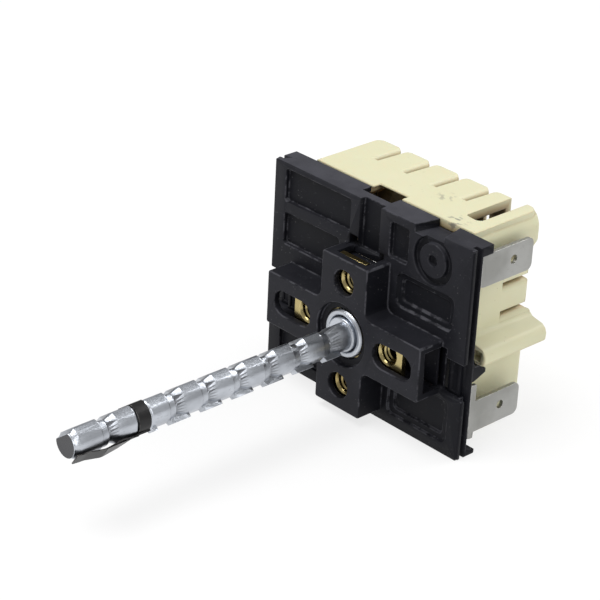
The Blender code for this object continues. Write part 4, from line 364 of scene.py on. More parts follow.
def mixed(tree, share, first, second):
    """A colour between two, each a colour or a socket, by a mask."""
    node = tree.nodes.new("ShaderNodeMix")
    node.data_type = "RGBA"
    for label, value in (("Factor", share), ("A", first), ("B", second)):
        kind = "VALUE" if label == "Factor" else "RGBA"
        socket = next(entry for entry in node.inputs if entry.name == label and entry.type == kind)
        if isinstance(value, bpy.types.NodeSocket):
            tree.links.new(value, socket)
        else:
            socket.default_value = (*value, 1.0)
    return next(entry for entry in node.outputs if entry.type == "RGBA")


def laid_on(tree, base, mask, share, colour):
    """A colour laid on a base through a mask, at a share of its strength."""
    return mixed(tree, math_node(tree, "MULTIPLY", mask, share), base, colour)


def scaled(tree, value, low, high):
    """A 0 to 1 value laid between two numbers."""
    node = tree.nodes.new("ShaderNodeMapRange")
    tree.links.new(value, node.inputs["Value"])
    node.inputs["To Min"].default_value = low
    node.inputs["To Max"].default_value = high
    return node.outputs["Result"]


def bump(tree, shader, height, strength, depth):
    node = tree.nodes.new("ShaderNodeBump")
    node.inputs["Strength"].default_value = strength
    node.inputs["Distance"].default_value = depth
    tree.links.new(height, node.inputs["Height"])
    tree.links.new(node.outputs["Normal"], shader.inputs["Normal"])


def skin(tree, shader, colour, grain, roughness, strength, depth):
    """A surface's colour, its roughness between two values, and its bump, by its grain."""
    tree.links.new(colour, shader.inputs["Base Color"])
    tree.links.new(scaled(tree, grain.outputs["Slow"], *roughness), shader.inputs["Roughness"])
    bump(tree, shader, grain.outputs["Height"], strength, depth)


RUBBED_BLACK = (0.105, 0.105, 0.12)
PALE_SPECK = (0.16, 0.16, 0.16)
SCUFFED_BLACK = (0.07, 0.07, 0.075)
# Grey for the cover's dust and for painted light on its tops and proud faces
DUST_AND_LIGHT_GREY = (0.050, 0.050, 0.060)


def black_phenolic():
    """Matt black moulding: fine skin, grey rubbed edges, pale specks, scuffs, and a grey film of dust and
    painted light on its tops and proud faces but not in its recesses.
    """
    material, tree, shader, place = blank_material("black_phenolic")
    grain = group(tree, "fine_grain", place, scale=4.5)
    wear = group(tree, "edge_wear", place, spread=0.62, scale=0.4)
    specks = group(tree, "specks", place, scale=1.1, size=0.13)
    scuffs = group(tree, "scratches", place, stretch=(0.35, 0.35, 1.0), scale=0.8, width=0.012)
    black = finishes().black
    base = mixed(tree, scaled(tree, grain.outputs["Slow"], 0.0, 1.0), black, toned(black, 1.9))
    rubbed = laid_on(tree, base, wear.outputs["Mask"], 0.45, RUBBED_BLACK)
    specked = laid_on(tree, rubbed, specks.outputs["Mask"], 0.35, PALE_SPECK)
    scuffed = laid_on(tree, specked, scuffs.outputs["Mask"], 0.3, SCUFFED_BLACK)
    uneven = scaled(tree, grain.outputs["Slow"], 0.45, 1.25)
    # Dust and painted light: grey laid on the tops and proud faces; the recess floors get none and stay dark
    # as painted shade
    dusted_and_lit = laid_on(tree, scuffed, mesh_mark(tree, "dust_and_painted_light"), uneven, DUST_AND_LIGHT_GREY)
    shader.inputs["Specular IOR Level"].default_value = 0.14
    skin(tree, shader, dusted_and_lit, grain, roughness=(0.46, 0.66), strength=0.25, depth=0.03 * MM)
    return material


WARM_TONE = (0.93, 0.89, 0.78)
DEEP_SLOT_SHADE = (0.012, 0.009, 0.005)
SMUDGE = (0.10, 0.10, 0.11)
TAN_SPECK = (0.30, 0.23, 0.14)

# Smudges on the housing's top: middle, reach in millimetres, strength
SMUDGES = (
    (Vector((14.6 * MM, 29.6 * MM, HOUSING_HIGH.z)), 3.0, 0.9),
    (Vector((6.4 * MM, 35.4 * MM, HOUSING_HIGH.z)), 2.6, 0.6),
)
SMUDGE_CORE = 0.35


def smudged_patches(tree, place):
    """A mask of round patches with soft edges, one at each smudge."""
    patches = 0.0
    for middle, size, strength in SMUDGES:
        away = tree.nodes.new("ShaderNodeVectorMath")
        away.operation = "DISTANCE"
        tree.links.new(place, away.inputs[0])
        away.inputs[1].default_value = middle / MM
        far = ramp_between(tree, away.outputs["Value"], size * SMUDGE_CORE, size)
        near = math_node(tree, "MULTIPLY", math_node(tree, "SUBTRACT", 1.0, far), strength)
        patches = math_node(tree, "MAXIMUM", patches, near)
    return patches


def ivory_phenolic():
    """Satin ivory moulding: yellowed unevenly, tan staining and painted shade deep in its slots, going to
    painted dark shade at their deepest, with a few rubbed marks.
    """
    material, tree, shader, place = blank_material("ivory_phenolic")
    grain = group(tree, "fine_grain", place, scale=3.5)
    wear = group(tree, "edge_wear", place, spread=0.85, scale=0.35)
    specks = group(tree, "specks", place, scale=0.8, size=0.09)
    ivory, stain_and_shade = finishes().ivory, finishes().stain_and_shade
    base = mixed(tree, scaled(tree, grain.outputs["Slow"], 0.0, 0.5), ivory, toned(ivory, WARM_TONE))
    edged = laid_on(tree, base, wear.outputs["Mask"], 0.22, stain_and_shade)

    # Tan staining and painted shade inside the slots, then painted dark shade deepest in them
    inside = mesh_mark(tree, "slot_depth")
    stained_and_shaded = laid_on(tree, edged, ramp_between(tree, inside, 0.0, 0.45), 0.75, stain_and_shade)
    deep_shaded = laid_on(tree, stained_and_shaded, ramp_between(tree, inside, 0.25, 1.0), 0.96, DEEP_SLOT_SHADE)

    rubs = group(tree, "scratches", place, stretch=(0.35, 1.5, 1.0), scale=0.6, width=0.16)
    rubbed = math_node(tree, "MULTIPLY", smudged_patches(tree, place), rubs.outputs["Mask"])
    smudged = laid_on(tree, deep_shaded, rubbed, 0.8, SMUDGE)
    specked = laid_on(tree, smudged, specks.outputs["Mask"], 0.45, TAN_SPECK)
    shader.inputs["Subsurface Weight"].default_value = 0.05
    shader.inputs["Subsurface Scale"].default_value = 0.8 * MM
    skin(tree, shader, specked, grain, roughness=(0.42, 0.56), strength=0.10, depth=0.03 * MM)
    return material


PLAIN_DULL = (0.35, 0.35, 0.35)
EDGE_BRIGHTNESS = 1.5
SCRATCH_TONE = 0.55
SMOOTHER = 0.07
ROUGHER = 0.10


def metal(name, colour, roughness, grain_scale, grain_depth=0.01 * MM, dull=PLAIN_DULL, dull_share=0.35,
          stretch=NO_STRETCH, scratch_share=0.3):
    """A worn metal: uneven roughness, a dull film in patches, bright rubbed edges and fine scratches."""
    material, tree, shader, place = blank_material(name)
    grain = group(tree, "fine_grain", place, scale=grain_scale)
    wear = group(tree, "edge_wear", place, spread=0.6, scale=0.8)
    lines = group(tree, "scratches", place, stretch=stretch, scale=3.0, width=0.02)
    film = ramp_between(tree, grain.outputs["Slow"], 0.42, 0.66)
    base = laid_on(tree, colour, film, dull_share, toned(colour, dull))
    bright = [min(1.0, channel * EDGE_BRIGHTNESS) for channel in colour]
    rubbed = laid_on(tree, base, wear.outputs["Mask"], 0.8, bright)
    marked = laid_on(tree, rubbed, lines.outputs["Mask"], scratch_share, toned(colour, SCRATCH_TONE))
    shader.inputs["Metallic"].default_value = 1.0
    uneven = (roughness - SMOOTHER, roughness + ROUGHER)
    skin(tree, shader, marked, grain, roughness=uneven, strength=0.35, depth=grain_depth)
    return material


RUBBED_ZINC = (0.86, 0.87, 0.90)
PAINTED_SHADE_DARK = (0.05, 0.05, 0.055)
TORN_DARK = (0.06, 0.06, 0.062)
TORN_PALE = (0.20, 0.20, 0.21)


def cast_zinc():
    """Cast zinc: pale with a cool film, grainy dark facets, painted shade in its steps, nicks, necks and
    underside, a sawn grey end and rubbed crests.
    """
    material, tree, shader, place = blank_material("cast_zinc")
    zinc = finishes().zinc
    grain = group(tree, "fine_grain", place, scale=2.4)
    coarse = group(tree, "fine_grain", place, scale=6.0)
    wear = group(tree, "edge_wear", place, spread=0.9, scale=0.8)
    lines = group(tree, "scratches", place, stretch=(1.0, 0.12, 1.0), scale=3.0, width=0.03)
    base = laid_on(tree, zinc, ramp_between(tree, grain.outputs["Slow"], 0.35, 0.62), 0.6, toned(zinc, 0.62))
    lined = laid_on(tree, base, lines.outputs["Mask"], 0.45, toned(zinc, 0.42))

    spots = scaled(tree, ramp_between(tree, coarse.outputs["Height"], 0.40, 0.56), 0.35, 1.0)
    grainy = math_node(tree, "MULTIPLY", mesh_mark(tree, "cast_facet"), spots)
    planed = laid_on(tree, lined, grainy, 0.75, toned(zinc, 0.36))
    rubbed = laid_on(tree, planed, wear.outputs["Mask"], 0.6, RUBBED_ZINC)
    uneven = scaled(tree, coarse.outputs["Height"], 0.7, 1.0)
    # Painted shade in the steps, nicks and necks, and lighter painted shade underneath
    shade_painted = laid_on(tree, rubbed, mesh_mark(tree, "cast_shade"), uneven, PAINTED_SHADE_DARK)

    end = mesh_mark(tree, "sawn_end")
    sawn = mixed(tree, end, shade_painted, mixed(tree, coarse.outputs["Height"], TORN_DARK, TORN_PALE))
    tree.links.new(sawn, shader.inputs["Base Color"])
    shader.inputs["Metallic"].default_value = 1.0
    rough = scaled(tree, grain.outputs["Slow"], 0.26, 0.46)
    rough = math_node(tree, "ADD", rough, math_node(tree, "MULTIPLY", grainy, 0.2))
    rough = math_node(tree, "ADD", rough, math_node(tree, "MULTIPLY", end, 0.25))
    tree.links.new(rough, shader.inputs["Roughness"])
    bump(tree, shader, grain.outputs["Height"], strength=0.5, depth=0.07 * MM)
    return material


def tinned_brass():
    return metal(
        "tinned_brass", finishes().tin, roughness=0.42, grain_scale=1.6, grain_depth=0.02 * MM,
        dull=(0.62, 0.62, 0.60), dull_share=0.6, stretch=(1.0, 0.15, 1.0), scratch_share=0.4,
    )


def bright_brass():
    return metal(
        "bright_brass", finishes().brass, roughness=0.24, grain_scale=1.5, grain_depth=0.02 * MM,
        dull=(0.62, 0.5, 0.35), dull_share=0.5,
    )


def phosphor_bronze():
    return metal("phosphor_bronze", finishes().bronze, roughness=0.34, grain_scale=1.5, dull=(0.6, 0.5, 0.4))


def plated_steel():
    return metal("plated_steel", (0.68, 0.68, 0.67), roughness=0.25, grain_scale=1.8)


def silver_tip():
    return metal("silver_contact", (0.84, 0.83, 0.80), roughness=0.22, grain_scale=2.0)


def bimetal_strip():
    return metal("bimetal", (0.58, 0.56, 0.53), roughness=0.36, grain_scale=1.6, stretch=(1.0, 1.0, 0.1))


def heater_alloy():
    return metal("heater_alloy", (0.30, 0.27, 0.25), roughness=0.45, grain_scale=2.4, grain_depth=0.02 * MM)


OXIDE_BLACK = (0.012, 0.012, 0.013)
OXIDE_BROWN = (0.035, 0.034, 0.034)
RUBBED_STEEL = (0.22, 0.21, 0.20)


def spring_steel():
    """Black oxide on spring steel: near black, rubbed to grey on its edges."""
    material, tree, shader, place = blank_material("black_spring_steel")
    grain = group(tree, "fine_grain", place, scale=3.0)
    wear = group(tree, "edge_wear", place, spread=0.7, scale=0.8)
    base = mixed(tree, scaled(tree, grain.outputs["Slow"], 0.0, 1.0), OXIDE_BLACK, OXIDE_BROWN)
    rubbed = laid_on(tree, base, wear.outputs["Mask"], 0.6, RUBBED_STEEL)
    shader.inputs["Metallic"].default_value = 0.7
    skin(tree, shader, rubbed, grain, roughness=(0.28, 0.45), strength=0.2, depth=0.01 * MM)
    return material


def moulded_nylon():
    """The red moulding of the cam and its lever: satin, with a little light through it."""
    material, tree, shader, place = blank_material("cam_nylon")
    grain = group(tree, "fine_grain", place, scale=3.0)
    red = finishes().red
    base = mixed(tree, scaled(tree, grain.outputs["Slow"], 0.0, 1.0), red, toned(red, 0.75))
    shader.inputs["Subsurface Weight"].default_value = 0.08
    shader.inputs["Subsurface Scale"].default_value = 0.6 * MM
    skin(tree, shader, base, grain, roughness=(0.35, 0.5), strength=0.12, depth=0.02 * MM)
    return material


MICA_DARK = (0.50, 0.42, 0.28)
MICA_PALE = (0.66, 0.59, 0.44)
MICA_LINE = (0.36, 0.29, 0.18)


def sleeve_paper():
    """The heater's mica sleeve: flaky tan, matt."""
    material, tree, shader, place = blank_material("mica_sleeve")
    grain = group(tree, "fine_grain", place, scale=2.2)
    lines = group(tree, "scratches", place, stretch=(1.0, 1.0, 0.2), scale=2.4, width=0.05)
    base = mixed(tree, scaled(tree, grain.outputs["Height"], 0.0, 1.0), MICA_DARK, MICA_PALE)
    flaky = mixed(tree, lines.outputs["Mask"], base, MICA_LINE)
    skin(tree, shader, flaky, grain, roughness=(0.5, 0.75), strength=0.4, depth=0.04 * MM)
    return material


SLOT_MATERIALS = {
    "black_phenolic": black_phenolic,
    "ivory_phenolic": ivory_phenolic,
    "cam_nylon": moulded_nylon,
    "brass_strap": bright_brass,
    "phosphor_bronze": phosphor_bronze,
    "tinned_brass": tinned_brass,
    "cast_shaft_metal": cast_zinc,
    "plated_steel": plated_steel,
    "black_spring_steel": spring_steel,
    "silver_contact": silver_tip,
    "bimetal": bimetal_strip,
    "heater_alloy": heater_alloy,
    "mica_sleeve": sleeve_paper,
}
made_materials = {}


def finish_for(slot):
    """The material of one of the record's slots, made the first time it is asked for."""
    if slot not in made_materials:
        made_materials[slot] = SLOT_MATERIALS[slot]()
    return made_materials[slot]


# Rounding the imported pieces

WELD_DISTANCE = 0.022 * MM
FLAT_ANGLE = math.radians(1.2)
TURNED_OVER = -0.2
TINY = 1e-9
BEVEL_PASSES = 8

# Times a rounded edge's width: the room it needs, its drift, and what counts as small, close or narrow
ROOM_SHARE = 0.9
DRIFT_SHARE = 0.9
SMALL_FACE = 4
CLOSE_REACH = 2
NARROW_SHARE = 1.1

SHARP_ANGLE = 32.0
SMOOTH_ANGLE = 40.0
ADDED_SMOOTH_ANGLE = 35.0
FLAT_FACE_WEIGHT = 90


def deselect_all():
    if bpy.context.mode != "OBJECT":
        bpy.ops.object.mode_set(mode="OBJECT")
    bpy.ops.object.select_all(action="DESELECT")


def make_active(thing):
    deselect_all()
    thing.select_set(True)
    bpy.context.view_layer.objects.active = thing


def short_side(face):
    """How narrow a face is: its area over its longest edge."""
    return face.calc_area() / max(edge.calc_length() for edge in face.edges)


def crossings(face):
    """The places where the outline of a face crosses itself."""
    across = face.normal.orthogonal().normalized()
    along = face.normal.cross(across)
    corners = [vert.co.copy() for vert in face.verts]
    flat = [Vector((corner.dot(across), corner.dot(along))) / MM for corner in corners]
    count = len(flat)
    sides = sorted(
        ((min(flat[k].x, flat[k - 1].x), max(flat[k].x, flat[k - 1].x), k) for k in range(count)),
        key=lambda side: side[0],
    )
    found = []
    for place, (_, reach, first) in enumerate(sides):
        start, end = flat[first - 1], flat[first]
        for low, _, second in sides[place + 1:]:
            if low > reach:
                break
            if abs(first - second) in (1, count - 1):
                continue
            hit = intersect_line_line_2d(start, end, flat[second - 1], flat[second])
            if hit:
                share = (hit - start).length / max(TINY, (end - start).length)
                found.append(corners[first - 1].lerp(corners[first], share))
    return found


def faults(work, solid, width):
    """Places where the rounded mesh crosses itself, leaves the solid's surface or is turned over."""
    places = [spot for face in work.faces if len(face.verts) > 3 for spot in crossings(face)]
    parts = work.copy()
    bmesh.ops.triangulate(parts, faces=parts.faces)
    for face in parts.faces:
        middle = face.calc_center_median()
        _, normal, _, away = solid.find_nearest(middle)
        wrong = away > width * DRIFT_SHARE or normal.dot(face.normal) < TURNED_OVER
        if wrong and face.calc_area() < (SMALL_FACE * width) ** 2:
            places.append(middle)
    parts.free()
    return places


def close_by(edge, places, reach):
    """Whether an edge passes one of the places within a reach."""
    start, end = (vert.co for vert in edge.verts)
    for place in places:
        _, share = intersect_point_line(place, start, end)
        if (start.lerp(end, clamped(share)) - place).length < reach:
            return True
    return False


def soften_edges(piece, width, segments, sharp):
    """Weld a copied solid, clear its flat faces of spare edges, and round its sharp edges.

    Where the rounded faces would cross, the edges close by are left sharp and the rest is rounded again.
    """
    solid = bmesh.new()
    solid.from_mesh(piece.data)
    surface = BVHTree.FromBMesh(solid)
    solid.free()
    make_active(piece)
    bpy.ops.object.mode_set(mode="EDIT")
    bpy.ops.mesh.select_all(action="SELECT")
    bpy.ops.mesh.remove_doubles(threshold=WELD_DISTANCE)
    bpy.ops.mesh.dissolve_degenerate(threshold=WELD_DISTANCE)
    bpy.ops.mesh.dissolve_limited(angle_limit=FLAT_ANGLE)
    bpy.ops.object.mode_set(mode="OBJECT")
    if not width:
        return
    plain = bmesh.new()
    plain.from_mesh(piece.data)
    plain.edges.ensure_lookup_table()
    chosen = {
        edge.index for edge in plain.edges
        if len(edge.link_faces) == 2 and edge.calc_face_angle() > math.radians(sharp)
        and min(short_side(face) for face in edge.link_faces) > width * ROOM_SHARE
    }
    crowded = set()
    for _ in range(BEVEL_PASSES):
        chosen -= crowded
        work = plain.copy()
        work.edges.ensure_lookup_table()
        bmesh.ops.bevel(
            work, geom=[work.edges[index] for index in chosen], offset=width, segments=segments, profile=0.5,
            affect="EDGES", clamp_overlap=False, miter_outer="SHARP",
        )
        places = faults(work, surface, width)
        crowded = {index for index in chosen if close_by(plain.edges[index], places, CLOSE_REACH * width)}
        if not crowded:
            break
    plain.free()
    work.to_mesh(piece.data)
    work.free()


def mark_edges(piece, width):
    """Give each narrow rounded face a worn_edge value of 1, for the edge wear to read."""
    values = piece.data.attributes.new("worn_edge", "FLOAT", "FACE")
    work = bmesh.new()
    work.from_mesh(piece.data)
    for face in work.faces:
        rounded = len(face.verts) == 4 and short_side(face) < width * NARROW_SHARE
        values.data[face.index].value = float(rounded)
    work.free()


def mark_faces(piece, name, rule):
    """A face value from 0 to 1, given by a rule on the face's middle and normal."""
    values = piece.data.attributes.new(name, "FLOAT", "FACE")
    for face in piece.data.polygons:
        values.data[face.index].value = float(rule(face.center, face.normal))


def mark_depth(piece, low, high, reach):
    """A slot_depth value at each point: how far it lies inside the block's sides, back, top and bottom."""
    values = piece.data.attributes.new("slot_depth", "FLOAT", "POINT")
    for point in piece.data.vertices:
        place = point.co
        inside = min(place.x - low.x, high.x - place.x, high.y - place.y, high.z - place.z, place.z - low.z)
        values.data[point.index].value = clamped(inside / reach)


def smooth_normals(piece, angle):
    """Shade smooth, with flat faces kept flat by weighted normals, on triangles."""
    make_active(piece)
    bpy.ops.object.mode_set(mode="EDIT")
    bpy.ops.mesh.select_all(action="SELECT")
    bpy.ops.mesh.quads_convert_to_tris(quad_method="BEAUTY", ngon_method="BEAUTY")
    bpy.ops.object.mode_set(mode="OBJECT")
    bpy.ops.object.shade_smooth_by_angle(angle=math.radians(angle), keep_sharp_edges=False)
    weighted = piece.modifiers.new("flat_faces", "WEIGHTED_NORMAL")
    weighted.weight = FLAT_FACE_WEIGHT
    weighted.keep_sharp = True
    bpy.ops.object.modifier_apply(modifier=weighted.name)


def finished_copy(node, name, width, segments=2, sharp=SHARP_ANGLE, smooth=SMOOTH_ANGLE, reshape=None):
    """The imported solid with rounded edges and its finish, standing for it on the same body."""
    piece = bpy.data.objects.new(name, frame["nodes"][node].data.copy())
    bpy.context.scene.collection.objects.link(piece)
    if reshape:
        reshape(piece.data)
    soften_edges(piece, width, segments, sharp)
    mark_edges(piece, width)
    smooth_normals(piece, smooth)
    piece.data.materials.clear()
    piece.data.materials.append(finish_for(NODE_SLOT[node]))
    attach(piece, NODE_BODY[node])
    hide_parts(node)
    return piece


def settled(piece, slot, body):
    """Apply a new piece's place, smooth it, give it a finish and let it ride."""
    make_active(piece)
    bpy.ops.object.transform_apply(location=True, rotation=True, scale=True)
    bpy.ops.object.shade_smooth_by_angle(angle=math.radians(ADDED_SMOOTH_ANGLE))
    piece.data.materials.clear()
    piece.data.materials.append(finish_for(slot))
    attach(piece, body)
    return piece


# Cover, with the dark walls that show behind the tapped plate

WEB_DEPTH = (COVER_FACE - 0.6 * MM, COVER_FACE + 0.4 * MM)
SNAP_WEB_DEPTH = (COVER_FACE + 1.3 * MM, COVER_FACE + 2.0 * MM)
WEB_HALF = 4.1 * MM
WEB_START = 6.6 * MM
WIDE_ARM_END = 19.4 * MM
TALL_ARM_END = 13.4 * MM
SNAP_WEB_START = 20.5 * MM
SNAP_WEB_END = 23.3 * MM
SNAP_WEB_UPRIGHT = (-4.9 * MM, 2.3 * MM)
ARM_WEBS = (
    ("boss_web_right", (WEB_START, WIDE_ARM_END), WEB_DEPTH, (-WEB_HALF, WEB_HALF)),
    ("boss_web_left", (-WIDE_ARM_END, -WEB_START), WEB_DEPTH, (-WEB_HALF, WEB_HALF)),
    ("boss_web_top", (-WEB_HALF, WEB_HALF), WEB_DEPTH, (WEB_START, TALL_ARM_END)),
    ("boss_web_bottom", (-WEB_HALF, WEB_HALF), WEB_DEPTH, (-TALL_ARM_END, -WEB_START)),
    ("snap_web_right", (SNAP_WEB_START, SNAP_WEB_END), SNAP_WEB_DEPTH, SNAP_WEB_UPRIGHT),
    ("snap_web_left", (-SNAP_WEB_END, -SNAP_WEB_START), SNAP_WEB_DEPTH, SNAP_WEB_UPRIGHT),
)
WEB_RIM = 0.6 * MM
WEB_SLOPE = 0.1 * MM
WEB_SINK = 0.25 * MM
WEB_ROUND = 0.08 * MM


def arm_webs():
    """The cover's dark inner walls behind the tapped plate, one in each arm of the boss, with a sunk face."""
    for name, across, deep, upright in ARM_WEBS:
        spans = (across, deep, upright)
        middle = Vector([(low + high) / 2 for low, high in spans]) + Vector((0.0, 0.0, AXIS_HEIGHT))
        deselect_all()
        bpy.ops.mesh.primitive_cube_add(size=1.0, location=middle)
        web = bpy.context.object
        web.name = name
        web.scale = [high - low for low, high in spans]
        bpy.ops.object.transform_apply(location=True, rotation=True, scale=True)
        for face in web.data.polygons:
            face.select = face.normal.y < -0.9
        bpy.ops.object.mode_set(mode="EDIT")
        bpy.ops.mesh.select_mode(type="FACE")
        bpy.ops.mesh.inset(thickness=WEB_RIM, depth=0.0)
        bpy.ops.mesh.inset(thickness=WEB_SLOPE, depth=-WEB_SINK)
        bpy.ops.object.mode_set(mode="OBJECT")
        rounded = web.modifiers.new("edges", "BEVEL")
        rounded.width = WEB_ROUND
        rounded.segments = 2
        bpy.ops.object.modifier_apply(modifier=rounded.name)
        settled(web, "black_phenolic", "switch_body")


# Dust and painted light on the cover, from 0 to 1: on what faces up, and on what faces the front, more higher
# up; the recesses get none and stay dark as painted shade
TOP_DUST_AND_LIGHT = 1.0
RIGHT_TOP_DUST_AND_LIGHT = 0.5
LEDGE_DUST_AND_LIGHT = 0.16
BOSS_DUST_AND_LIGHT = 0.30
FACE_DUST_AND_LIGHT = 0.22
DUST_AND_LIGHT_BLEND = 0.4
UPWARD_START = 0.3
FORWARD_START = 0.4
TOP_EDGE_BAND = 4.0 * MM
FACE_BAND = 0.3 * MM
FULL_TOP_REACH = 12.0 * MM
DIMPLE_PLACE = Vector((15.7 * MM, 36.0 * MM))
DIMPLE_REACH = 5.5 * MM
DIMPLE_WEAR = 0.25


def cover_dust_and_light(middle, normal):
    """How dusty and rubbed the cover is at a face, with painted light: most on its top edge, less on its
    proud front faces, more higher up its front; its recesses get none and stay dark as painted shade.
    """
    upward = clamped((normal.z - UPWARD_START) / DUST_AND_LIGHT_BLEND)
    if upward:
        if middle.z < COVER_HIGH.z - TOP_EDGE_BAND:
            return upward * LEDGE_DUST_AND_LIGHT
        return upward * (TOP_DUST_AND_LIGHT if middle.x < FULL_TOP_REACH else RIGHT_TOP_DUST_AND_LIGHT)
    forward = clamped((-normal.y - FORWARD_START) / DUST_AND_LIGHT_BLEND)
    if middle.y < COVER_LOW.y + FACE_BAND:
        return forward * BOSS_DUST_AND_LIGHT
    if middle.y < COVER_FACE + FACE_BAND:
        return forward * FACE_DUST_AND_LIGHT * clamped(middle.z / COVER_HIGH.z)
    return 0.0


class SWITCH_OT_cover(bpy.types.Operator):
    """Finish the black cover, with less wear round its dimple, and add the walls behind the plate."""

    bl_idname = "switch.cover"
    bl_label = "Cover"

    def execute(self, context):
        cover = finished_copy("front_cover", "cover_moulding", sizes().moulded_round, sizes().edge_segments)
        mark_faces(cover, "dust_and_painted_light", cover_dust_and_light)
        worn = cover.data.attributes["worn_edge"].data
        for face in cover.data.polygons:
            if (Vector((face.center.x, face.center.z)) - DIMPLE_PLACE).length < DIMPLE_REACH:
                worn[face.index].value *= DIMPLE_WEAR
        arm_webs()
        return {"FINISHED"}


# Housing

# Block that the slot depth is read inside, and the depth at which the painted dark shade is full
BLOCK_HALF = 20.0 * MM
RIB_OVERHANG = 0.4 * MM
SLOT_SHADE_REACH = 2.6 * MM


class SWITCH_OT_housing(bpy.types.Operator):
    """Finish the ivory housing, marking how deep its slots go for the staining and painted shade in them."""

    bl_idname = "switch.housing"
    bl_label = "Housing"

    def execute(self, context):
        segments = sizes().edge_segments
        housing = finished_copy("rear_housing", "housing_moulding", sizes().moulded_round, segments)
        block_low = Vector((-BLOCK_HALF, HOUSING_LOW.y, HOUSING_LOW.z))
        block_high = Vector((BLOCK_HALF, HOUSING_HIGH.y - RIB_OVERHANG, HOUSING_HIGH.z))
        mark_depth(housing, block_low, block_high, SLOT_SHADE_REACH)
        return {"FINISHED"}


# Shaft: places along it from its tip, angles round it from +X

SHAFT_RADIUS = 2.95 * MM
RIBBED_LENGTH = 60.0 * MM
RIBBED_END = SHAFT_TIP + RIBBED_LENGTH
FIRST_CREST_END = SHAFT_TIP + 5.8 * MM
CREST_PITCH = 7.12 * MM
CREST_COUNT = 8
CREST_RADIUS = 2.9 * MM
PAD_RADIUS = 3.05 * MM
PAD_RISE = 0.38 * MM
PLANED_ANGLES = [math.radians(angle) for angle in (31.0, -2.0, -35.0, 97.0)]
PLANED_DEPTH = 0.12 * MM
FACET_ANGLE = math.radians(64.0)
FACET_CLOSENESS = 0.9995

# Collar, neck and nick behind each crest, measured from the crest's end
COLLAR_SPAN = (0.03 * MM, 1.33 * MM)
COLLAR_SHARE = 0.965
NECK_SPAN = (1.33 * MM, 1.95 * MM)
NECK_SHARE = 0.87
NECK_DEPTH = 0.45 * MM
NICK_SPAN = (1.35 * MM, 2.5 * MM)
NICK_ANGLE = math.radians(37.0)
NICK_REACH = math.radians(17.0)

# Painted shade on the casting, from 0 to 1, and the tilt of its steps, undersides and end
STEP_SHADE = 0.9
NICK_SHADE = 0.92
NECK_SHADE = 0.55
UNDER_SHADE = 0.4
STEP_TILT = 0.35
UNDER_TILT = -0.65
END_TILT = -0.97
SAWN_DEPTH = 0.1 * MM
BRIGHT_TIP = 2.0 * MM

# Clip: the crest it sits behind, and its tongue's front, turn and shape
CLIP_CREST = 1
CLIP_FRONT = SHAFT_TIP + 13.1 * MM
CLIP_TURN_END = SHAFT_TIP + 9.0 * MM
CLIP_ANGLE = math.radians(-53.0)
CLIP_TURN = math.radians(18.0)
CLIP_WIDENING = 1.3
CLIP_CLOSENESS = 0.62


def from_axis(place):
    """A point's offset from the shaft's axis, in the X-Z plane."""
    return Vector((place.x, place.z - AXIS_HEIGHT))


def put_back(place, offset):
    """Move a point to an offset from the shaft's axis."""
    place.x, place.z = offset.x, offset.y + AXIS_HEIGHT


def sharpen_casting(mesh):
    """Raise the pads under the shaft, sink its collars and necks, and plane long flats on its crests."""
    planes = [Vector((math.cos(angle), math.sin(angle))) for angle in PLANED_ANGLES]
    for point in mesh.vertices:
        offset = from_axis(point.co)
        if point.co.y > RIBBED_END:
            continue
        crest, past = divmod(point.co.y - FIRST_CREST_END, CREST_PITCH)
        below = offset.length < CREST_RADIUS and crest != CLIP_CREST and crest < CREST_COUNT
        if offset.length > PAD_RADIUS:
            offset *= 1 + PAD_RISE / offset.length
        elif below and NECK_SPAN[0] < past < NECK_SPAN[1]:
            offset *= NECK_SHARE
        elif below and COLLAR_SPAN[0] < past < COLLAR_SPAN[1]:
            offset *= COLLAR_SHARE
        else:
            for away in planes:
                offset -= away * max(0.0, offset.dot(away) - SHAFT_RADIUS + PLANED_DEPTH)
        put_back(point.co, offset)


def casting_shade(middle, normal):
    """How much painted shade the casting gets at a face: in its steps, nicks and necks, and less underneath.
    """
    if middle.y > RIBBED_END or middle.y < SHAFT_TIP + BRIGHT_TIP:
        return 0.0
    if normal.y > STEP_TILT:
        return STEP_SHADE
    offset = from_axis(middle)
    past = (middle.y - FIRST_CREST_END) % CREST_PITCH
    aside = abs(math.atan2(offset.y, offset.x) - NICK_ANGLE)
    if aside < NICK_REACH and NICK_SPAN[0] < past < NICK_SPAN[1] and offset.length < CREST_RADIUS:
        return NICK_SHADE
    if offset.length < SHAFT_RADIUS - NECK_DEPTH and offset.x + offset.y > 0.0:
        return NECK_SHADE
    if offset.length > SHAFT_RADIUS:
        return 0.0
    return UNDER_SHADE if normal.z < UNDER_TILT else 0.0


def on_facet(middle, normal):
    """Whether a face lies on the shaft's grainy cast facets."""
    return normal.dot(Vector((math.cos(FACET_ANGLE), 0.0, math.sin(FACET_ANGLE)))) > FACET_CLOSENESS


def on_sawn_end(middle, normal):
    return normal.y < END_TILT and middle.y < SHAFT_TIP + SAWN_DEPTH


def draw_out_tongue(mesh):
    """Widen the clip's tongue, lay it closer to the shaft and turn it round the shaft towards its tip."""
    out = Vector((math.cos(CLIP_ANGLE), math.sin(CLIP_ANGLE)))
    side = Vector((-out.y, out.x))
    for point in mesh.vertices:
        if point.co.y > CLIP_FRONT:
            continue
        offset = from_axis(point.co)
        rise = offset.dot(out) - SHAFT_RADIUS
        wide = out * (SHAFT_RADIUS + rise * (CLIP_CLOSENESS if rise > 0 else 1.0))
        wide += side * offset.dot(side) * CLIP_WIDENING
        share = min(1.0, (CLIP_FRONT - point.co.y) / (CLIP_FRONT - CLIP_TURN_END))
        wide.rotate(Matrix.Rotation(CLIP_TURN * share, 2))
        put_back(point.co, wide)


